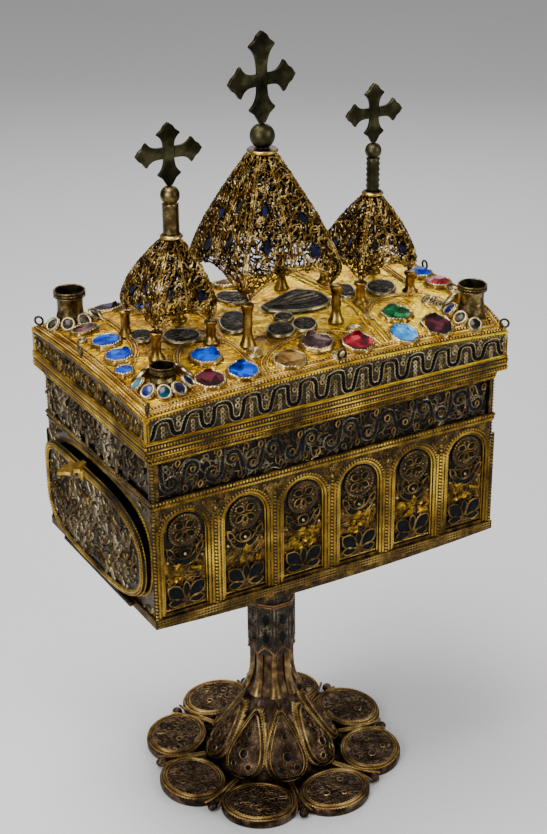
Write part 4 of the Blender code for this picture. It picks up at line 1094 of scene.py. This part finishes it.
for name, x, y, half_x, half_y, *cut in STONES:
    twist, sides = cut or (0, 8)
    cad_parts["stone_" + name].data.materials[0] = GEMS[name.split("_")[0]]
    angle = around(sides * 6)
    sector = (angle % (2 * math.pi / sides)) - math.pi / sides
    outline = polar(math.cos(math.pi / sides) / np.cos(sector), angle + math.radians(twist))
    for grow, lift, size, where in ((0.6, 2.2, 1.3, rings), (1.6, 0.0, 1, collars)):
        loop = outline * (half_x + grow, half_y + grow) + (x, y)
        where.append(rope(loop, size, lid_plate, lift, True))
    walls.append(border(outline * (half_x + 0.6, half_y + 0.6) + (x, y), 1.2, 2.4, lid_plate))
piece("stone_beading", rings, wire_pale)
piece("stone_collars", collars, wire_brown)
piece("stone_settings", walls, gilt)


# Sockets and rings
# Four empty sockets of dark brass, drums with a beaded band round the mouth; three stand in
# flowers of small wire-edged enamel cups. Six loose hanging rings on lugs at the edges.

def turned(profile, place, count=40):
    """A turned shape: (radius, height) from the top down, round an upright axis at a place."""
    spin = around(count)
    return grid([[(place[0] + r * math.cos(a), place[1] + r * math.sin(a), place[2] + z)
                  for a in spin] for r, z in profile], wrap=True)


def round_rope(radius, size, place):
    """A twisted wire round an upright axis."""
    chart = plane(place, (1, 0, 0), (0, 1, 0), (0, 0, 1))
    return rope(oval(radius, radius, 60), size, chart, -size / 2, True)


# bronze and brass, olive brown with soft highlights and dark yellow, and the sockets nearly black
# inside, with no shine at all
bronze = worn_metal("olive bronze", "1c1b11", "3e3a26", "6a6444", 0.42, 16, 0.35)
dark_brass = worn_metal("dark brass", "2a2214", "57482a", "9c8858", 0.36, 5, 0.35)
inside_dark = worn_metal("nearly black inside of a socket", "0a0907", "17130d", "2a2318", 0.55, 5, 0.5,
    0.1)
# translucent enamel in small cups: deep colours that catch a point of light
PETALS = {"purple": gem("purple enamel", "080414", "140c30", "382c60", 0.3),
          "teal": gem("teal enamel", "021a24", "064058", "2c7c96", 0.3),
          "indigo": gem("indigo enamel", "040622", "0c1248", "363e88", 0.3),
          "grey": gem("worn enamel", "0a0908", "1e1a15", "4a4234", 0.2)}
CUP_LEAN = math.radians(40)
# socket: place, radii of mouth and drum, height, and how far out its petals stand, then the
# angle and colour of each petal
SOCKETS = {
    "front_left": (-90, -47, 7, 6.2, 10.6, 13.8, (
        (131, "teal"), (166, "teal"), (208, "indigo"), (246, "teal"), (281, "purple"),
        (316, "indigo"), (352, "grey"), (28, "indigo"), (62, "grey"), (97, "grey"))),
    "back_left": (-93, 64.8, 9.2, 7.6, 19, 14.2, (
        (200, "grey"), (240, "grey"), (280, "grey"), (320, "grey"))),
    "front_right": (100.5, -56, 8.4, 7, 17.2, 14, (
        (100, "grey"), (136, "grey"), (172, "indigo"), (207, "grey"), (243, "grey"))),
    "back_right": (96, 60, 8.4, 7, 16.5, 14, (
        (172, "grey"), (209, "indigo"), (246, "grey"), (283, "grey"))),
}
drums, insides, ribs, petal_rims, petal_walls = [], [], [], [], []
petals = {key: [] for key in PETALS}
for name, (x, y, mouth, drum, tall, start, cups) in SOCKETS.items():
    foot = (x, y, float(lid_top(x, y)) + 0.2)
    low = float(np.min(lid_top(x + drum * np.cos(np.arange(8)), y + drum * np.sin(np.arange(8)))))
    drums.append(turned(((mouth - 0.9, tall - 0.4), (mouth - 0.3, tall), (mouth, tall - 0.3),
        (mouth, tall - 1.2), (mouth - 0.5, tall - 1.4), (mouth - 0.5, tall - 3),
        (drum + 0.4, tall - 3.4), (drum, tall - 4.2), (drum - 0.3, tall * 0.5), (drum, 4),
        (drum + 0.6, 3.6), (drum + 0.6, low - foot[2] + 0.1)), foot))
    insides.append(turned(((0.2, 3.1), (drum - 1.1, 3.1), (drum - 1.1, tall - 3.4),
                           (mouth - 0.9, tall - 0.4)), foot))
    for height, radius, size in ((tall - 1.4, mouth - 0.4, 1.1), (tall - 3.1, mouth - 0.4, 1),
                                 (4, drum, 1.1), (5.2, drum - 0.1, 0.8)):
        ribs.append(round_rope(radius, size, (x, y, foot[2] + height)))
    for c, s in polar(1, around(26)):
        spot = (x + (mouth - 0.5) * c, y + (mouth - 0.5) * s, foot[2] + tall - 2.2)
        ribs.append(pane(oval(0.6, 0.6, 6), wall(spot, (-s, c)), 0.0, 0.4))
    for degrees, colour in cups:
        # each cup leans outwards against the foot of the drum
        c, s = polar(1, np.radians([degrees]))[0]
        spot = (x + c * start, y + s * start)
        if max(abs(spot[0]) - 108, abs(spot[1]) - 69) > 0:
            continue
        k, m = math.cos(CUP_LEAN), math.sin(CUP_LEAN)
        chart = plane((*spot, float(lid_top(*spot)) + 2.8), (-s, c, 0), (-c * k, -s * k, m),
                      (c * m, s * m, k))
        outline = oval(3.4, 3.8, 24)
        top = chart(*(outline * 1.20).T, np.zeros(24))
        bottom = top.copy()
        bottom[:, 2] = lid_top(top[:, 0], top[:, 1]) + 0.1
        petal_walls.append(grid((bottom, top), wrap=True))
        petals[colour].append(pane(outline, chart, 0.3, 0.8))
        petal_rims.append(border(outline * 1.02, 1.6, 1.1, chart))
        petal_rims.append(rope(outline * 1.18, 1, chart, -0.2, True))
piece("socket_drums", drums, dark_brass, stands_for=["socket_" + name for name in SOCKETS])
piece("socket_insides", insides, inside_dark)
piece("socket_beading", ribs, dark_brass)
piece("petal_rims", petal_rims, wire_pale)
piece("petal_walls", petal_walls, gilt)
for key, shells in petals.items():
    piece("petals_" + key, shells, PETALS[key])
rings, lugs = [], []
# ring: its name, place and turn
RINGS = (("front_left", -110.5, -70, 45), ("back_left", -110.5, 70, -45),
         ("front_right", 112.2, -71.7, -45), ("left_middle", -111, 11, 90),
         ("front_middle", 4.8, -70.8, 0), ("right_middle", 111.2, 6, 90))
for name, x, y, turn in RINGS:
    high = float(lid_top(x, y))
    c, s = polar(1, np.radians([turn]))[0]
    chart = plane((x, y, high + 3.9), (c, s, 0), (0, 0, 1), (-s, c, 0))
    rings.append(wire(oval(2.4, 2.4, 28), 1.3, 0.65, chart, 0, True,
                      polar(1, np.linspace(0, 2 * math.pi, 9))))
    lugs.append(turned(((0.3, 1), (0.9, 0.6), (0.8, -0.4), (1.3, -1.2)), (x, y, high + 1.2), 12))
piece("hanging_rings", rings, bronze,
      stands_for=["ring_" + place for place, *_ in RINGS])
piece("ring_lugs", lugs, dark_brass)


# Canopies
# Three four-sided tents of open gilt wirework on turned brass columns: bright scrolls over
# darker ones, between a beaded ridge at each corner and a rib up each face, with lozenges
# of dark blue glass. On each stands a bronze finial with a flat cross of dark bronze.

ROUND = ((1.0, -0.4), (0.0, 1.0), (-1.0, -0.4), (1.0, -0.4))
# name, centre, half sizes, heights of foot and top, lean, swell of the sides, collar
CANOPIES = (
    ("left", (-64, -1.5), (16.5, 19.2), 310.8, 353.5, 4.2, 1.55, 6.2),
    ("centre", (-5, -5.5), (28, 30), 322.1, 393.5, -0.6, 1.25, 8.6),
    ("right", (65.5, -1), (17, 19.5), 314.3, 356.5, 3, 1.45, 6.2))


def tent_size(t, swell):
    """Half size of a canopy at the height t, from its corners to its collar."""
    return np.where(t < 0.14, 0.88 + 0.12 * np.sin(np.minimum(t, 0.14) / 0.14 * math.pi / 2),
                    1 - (np.maximum(t - 0.14, 0) / 0.86) ** swell)


def tent(centre, half, low, high, lean, swell, collar, side):
    """One face of a canopy: u across it, v the height above its corners."""
    def place(u, v, h):
        u, v, h = np.broadcast_arrays(*(np.asarray(a, float) for a in (u, v, h)))
        t = np.clip(v / (high - low), 0.0, 1.0)
        size = tent_size(t, swell)
        width = (half[0] + 1.6) * size + collar * t * 0.70
        depth = (half[1] + 1.6) * size + collar * t * 0.70
        along, away = (width, depth) if side % 2 == 0 else (depth, width)
        s = np.clip(u / np.maximum(along, 0.01), -1, 1)
        out = away * (1 + 0.10 * (1 - s * s) * (1 - t)) + h
        x, y = ((s * along, -out), (out, s * along), (-s * along, out), (-out, -s * along))[side]
        return np.column_stack((centre[0] + x + lean * t, centre[1] + y, low + t * (high - low)))
    return place


def column_shells(x, y, top):
    """A turned column: cap, hollow neck, swelling, hollow and flared foot."""
    ring = [float(lid_top(x + 4.6 * math.cos(k), y + 4.6 * math.sin(k))) for k in range(7)]
    low = max(ring) + 0.3
    tall = top - low
    profile = [(0.2, tall), (3.5, tall), (3.7, tall - 0.4), (3.6, tall - 1.4), (2.9, tall * 0.84),
        (2.5, tall * 0.74), (2.6, tall * 0.60), (2.8, tall * 0.48), (2.4, tall * 0.36),
        (2.7, tall * 0.24), (3.6, tall * 0.10), (4.5, 0.6), (4.6, 0.0)]
    return turned(profile, (x, y, low), 28)


# finial: radii of collar and tube, length of the tube, radius of the ball
FINIALS = {"left": (6.2, 4.6, 16.5, 5.3), "centre": (8.6, 4.8, 0.2, 6.9),
           "right": (6.2, 4, 19, 4.7)}
# cross: half width, upper and lower arm, width of an arm and across its cusps, turn
CROSSES = {"left": (19.3, 16, 17.6, 7.4, 13.6, 0.0),
           "centre": (22.2, 25.6, 23.2, 8, 17.2, 8.0),
           "right": (18.7, 16.4, 16.8, 7, 13, 2.0)}


def arm_shape(start, tip, arm, cusp, blunt):
    """Distance from the centre and half width along one arm: hollow sides, two cusps, a point."""
    bend = tip - cusp * 0.46
    sides = [(start + (bend - start) * k, arm / 2 + (cusp - arm) / 2 * k ** 4)
             for k in np.linspace(0, 1, 12)]
    end = [(0.40, 0.47), (0.27, 0.29), (0.13, 0.20), (0.0, 0.12 if blunt else 0.02)]
    return sides + [(tip - cusp * x, cusp * w) for x, w in end]


def plate_strip(shape, chart, turn):
    """A flat bar with bevelled edges, its half width given along it."""
    thick, bevel = 1.1, 0.4
    rows = []
    for x, w in [(shape[0][0], 0.0)] + list(shape) + [(shape[-1][0], 0.0)]:
        inner = max(w - bevel, 0.0)
        loop = np.array(((-w, bevel - thick), (-w, thick - bevel), (-inner, thick), (inner, thick),
            (w, thick - bevel), (w, bevel - thick), (inner, -thick), (-inner, -thick)))
        if w == 0:
            loop[:, 1] = 0
        c, s = math.cos(turn), math.sin(turn)
        rows.append(chart(c * x - s * loop[:, 0], s * x + c * loop[:, 0], loop[:, 1]))
    return grid(rows, wrap=True)


# cast glass over dark silver: nearly black, blue where light falls on it
navy_glass = gem("navy glass", "010208", "04071a", "0e153a", 0.2)
# gilt wire with tarnish in patches, over an inner layer of wire painted nearly black as the shade
# inside the tent; the glass settings are of the same dark wire
wire_worn = worn_metal("gilt wire, tarnished in places", "281b09", "745624", "dcbc6e", 0.30, 6)
dark_shade_wire = worn_metal("dark wire, painted shade inside the tents", "0c0a07", "1e1810", "4c3e28", 0.42, 6)
# cast bronze with an olive patina, and brass with dull gilding
cross_bronze = worn_metal("dark olive bronze", "14130b", "2c2a1a", "545036", 0.42, 14, 0.35)
column_brass = worn_metal("dull gilt brass", "4a3512", "8a6a2a", "c6a256", 0.30, 8, 0.40, 0.04)
for name, centre, half, low, high, lean, swell, collar in CANOPIES:
    rise = high - low
    wires, inner, ridges, glass, settings = [], [], [], [], []
    for side in range(4):
        place = tent(centre, half, low, high, lean, swell, collar, side)
        wide = half[side % 2] + 1.6

        def reach(v):
            t = np.clip(v / rise, 0, 1)
            return wide * tent_size(t, swell) + collar * t * 0.70

        def on_face(u, v):
            s = abs(u) / reach(v)
            return s < 0.93 and v > rise * 0.20 * (1 - s ** 2.2) + 1 and v < rise - 1
        box = ((-wide, wide), (0, rise))
        wires += filigree(on_face, box, 3.5, place, len(name) * 10 + side, 0.7, 0.7, -0.2,
                          ROUND, 11)
        # the inner layer of scrolls is painted nearly black as the shade inside the tent
        inner += filigree(on_face, box, 3.3, place, len(name) * 20 + side, 1, 0.5, -1.4, ROUND, 9)
        levels = np.linspace(0.0, rise, 30)
        corner = np.stack((reach(levels), levels), 1)
        ridges.append(rope(corner, 1.5, place, -0.4))
        ridges.append(rope(corner - (1.6, 0), 0.8, place, -0.2, False, -1))
        ridges.append(rope(corner * (-1, 1) + (1.6, 0), 0.8, place, -0.2))
        ridges.append(rope([(0, rise * 0.20), (0, rise)], 1.1, place, 0.1))
        s = np.linspace(-1, 1, 25)
        start = rise * 0.20 * (1 - np.abs(s) ** 2.2)
        edge = np.stack((s * reach(start), start), 1)
        ridges.append(rope(edge, 1.2, place, -0.3))
        ridges.append(rope(edge + (0, 1.5), 0.8, place, 0.1, False, -1))
        spots = ((0.36, 4), (0.60, 3.2)) if name == "centre" else ((0.42, 3),)
        for t, r in spots:
            for k in (-1, 1):
                spot = (k * float(reach(t * rise)) * (0.44 + 0.10 * math.sin(side + 3 * t)),
                        (t + 0.05 * math.sin(5 * k + side)) * rise)
                outline = oval(r * (0.8 + 0.2 * math.sin(side + k)), r * 1.1, 5, spot,
                    k * 0.4 + side)
                glass.append(pane(np.repeat(outline, 2, 0), place, 0.2, 0.5))
                settings.append(border(outline, 0.6, 1, place))
    piece("canopy_%s_wires" % name, wires, wire_worn, stands_for=["canopy_" + name])
    piece("canopy_%s_inner" % name, inner, dark_shade_wire)
    piece("canopy_%s_ridges" % name, ridges, wire_worn)
    piece("canopy_%s_settings" % name, settings, dark_shade_wire)
    piece("canopy_%s_glass" % name, glass, navy_glass)
    corners = [(centre[0] + a * half[0], centre[1] + b * half[1]) for a, b in CORNERS]
    piece("columns_" + name, [column_shells(x, y, low - 0.3) for x, y in corners], column_brass,
          stands_for=["column_%s_%d" % (name, k) for k in (1, 2, 3, 4)])
    # finial: a bright collar ring, then a ribbed or knobbed tube and a ball
    ring_r, tube_r, length, ball_r = FINIALS[name]
    tube_bronze = dark_brass if name == "left" else bronze
    ball_z = 2.4 + length + ball_r * 0.92
    foot = (centre[0] + lean, centre[1], high + 0.3)
    profile = [(0.2, ball_z + ball_r)]
    profile += [(ball_r * math.sin(a), ball_z + ball_r * math.cos(a))
        for a in np.linspace(0.3, 2.75, 12)]
    if length > 2:
        rows = np.linspace(2.4 + length, 2.4, 25 if name == "left" else 13)
        profile += [(tube_r * (1 - 0.16 * (k % 2)), z) for k, z in enumerate(rows)]
    profile += [(tube_r, 2.4), (ring_r - 0.8, 2.2)]
    piece("finial_%s_tube" % name, [turned(profile, foot, 32)], tube_bronze,
          stands_for=["finial_" + name])
    collars = [turned(((ring_r - 1, 2.1), (ring_r, 1.4), (ring_r, 0.7),
                       (ring_r - 1, 0.0)), foot, 32)]
    piece("finial_%s_collar" % name, collars, brass)
    half_w, up, down, arm, cusp, turn = CROSSES[name]
    centre_z = foot[2] + ball_z + ball_r + 0.3 + down
    chart = wall((foot[0], foot[1], centre_z), polar(1, np.radians([turn]))[0])
    # the plate is cut a little slimmer than the casting behind it
    slim = arm * 0.84
    top = arm_shape(0.0, up, slim, cusp, False)
    foot_arm = arm_shape(0.0, down, slim, cusp, True)
    upright = [(-x, w) for x, w in foot_arm[:0:-1]] + top
    shells = [plate_strip(upright, chart, math.pi / 2)]
    side_arm = arm_shape(slim / 2, half_w, slim, cusp, False)
    shells += [plate_strip(side_arm, chart, way) for way in (0.0, math.pi)]
    piece("cross_" + name + "_plate", shells, cross_bronze, smooth=False,
          stands_for=["cross_" + name])


# Stage
# A pale floor and soft studio light from windows of light above and beside it.

# matt paper, so pale and even that it only carries the shadow
paper = mottled("pale paper", 900, [(0.3, "dad9d9"), (0.7, "e4e3e3")], 2, Roughness=0.85)
floor_mesh = bpy.data.meshes.new("floor")
floor_mesh.from_pydata(np.insert(polar(3.0, around(72)), 2, -0.0002, 1).tolist(), [],
                       [list(range(72))])
floor_mesh.materials.append(paper)
floor = bpy.data.objects.new("floor", floor_mesh)
bpy.context.scene.collection.objects.link(floor)

world = bpy.data.worlds.new("studio")
bpy.context.scene.world = world
world.use_nodes = True
tree = world.node_tree
sky = node(tree, "TexCoord", out="Generated")
shade = node(tree, "MapRange", Value=node(tree, "SeparateXYZ", out="Z", Vector=sky), From_Min=-0.2)
stops = [(0.0, "767370"), (0.42, "b8b7b7"), (0.66, "e6e6e6"), (1.0, "ffffff")]
feed(tree.nodes["Background"], Color=node(tree, "ValToRGB", {"stops": stops}, Fac=shade),
     Strength=0.46)


def window(name, place, aim, size, power):
    """A rectangular soft light."""
    light = bpy.data.lights.new(name, "AREA")
    light.shape = "RECTANGLE"
    light.size, light.size_y = size
    light.energy = power
    item = bpy.data.objects.new(name, light)
    bpy.context.scene.collection.objects.link(item)
    item.location = place
    item.rotation_euler = (Vector(aim) - Vector(place)).to_track_quat("-Z", "Y").to_euler()


window("overhead", (-0.25, 0.10, 1.35), (0, 0, 0.25), (0.9, 0.6), 20)
window("left", (-1.10, -0.55, 0.75), (0, 0, 0.25), (0.5, 0.8), 9)
window("right", (0.75, -1.10, 0.85), (0, 0, 0.22), (0.5, 0.7), 8)
window("behind", (0.75, 1.05, 0.95), (0, 0, 0.28), (0.9, 0.5), 5)

camera = bpy.data.cameras.new("camera")
camera.sensor_fit = "VERTICAL"
camera.sensor_height = 36.0
camera.lens = 72.04
camera.clip_start = 0.02
eye = bpy.data.objects.new("camera", camera)
bpy.context.scene.collection.objects.link(eye)
turn, tilt, roll = (math.radians(x) for x in (29.79, 24.86, -0.54))
eye.location = (-0.4354, -0.7655, 0.6414)
eye.rotation_euler = (Matrix.Rotation(-turn, 3, "Z") @ Matrix.Rotation(math.pi / 2 - tilt, 3, "X")
                      @ Matrix.Rotation(roll, 3, "Z")).to_euler()
bpy.context.scene.camera = eye
bpy.context.view_layer.update()
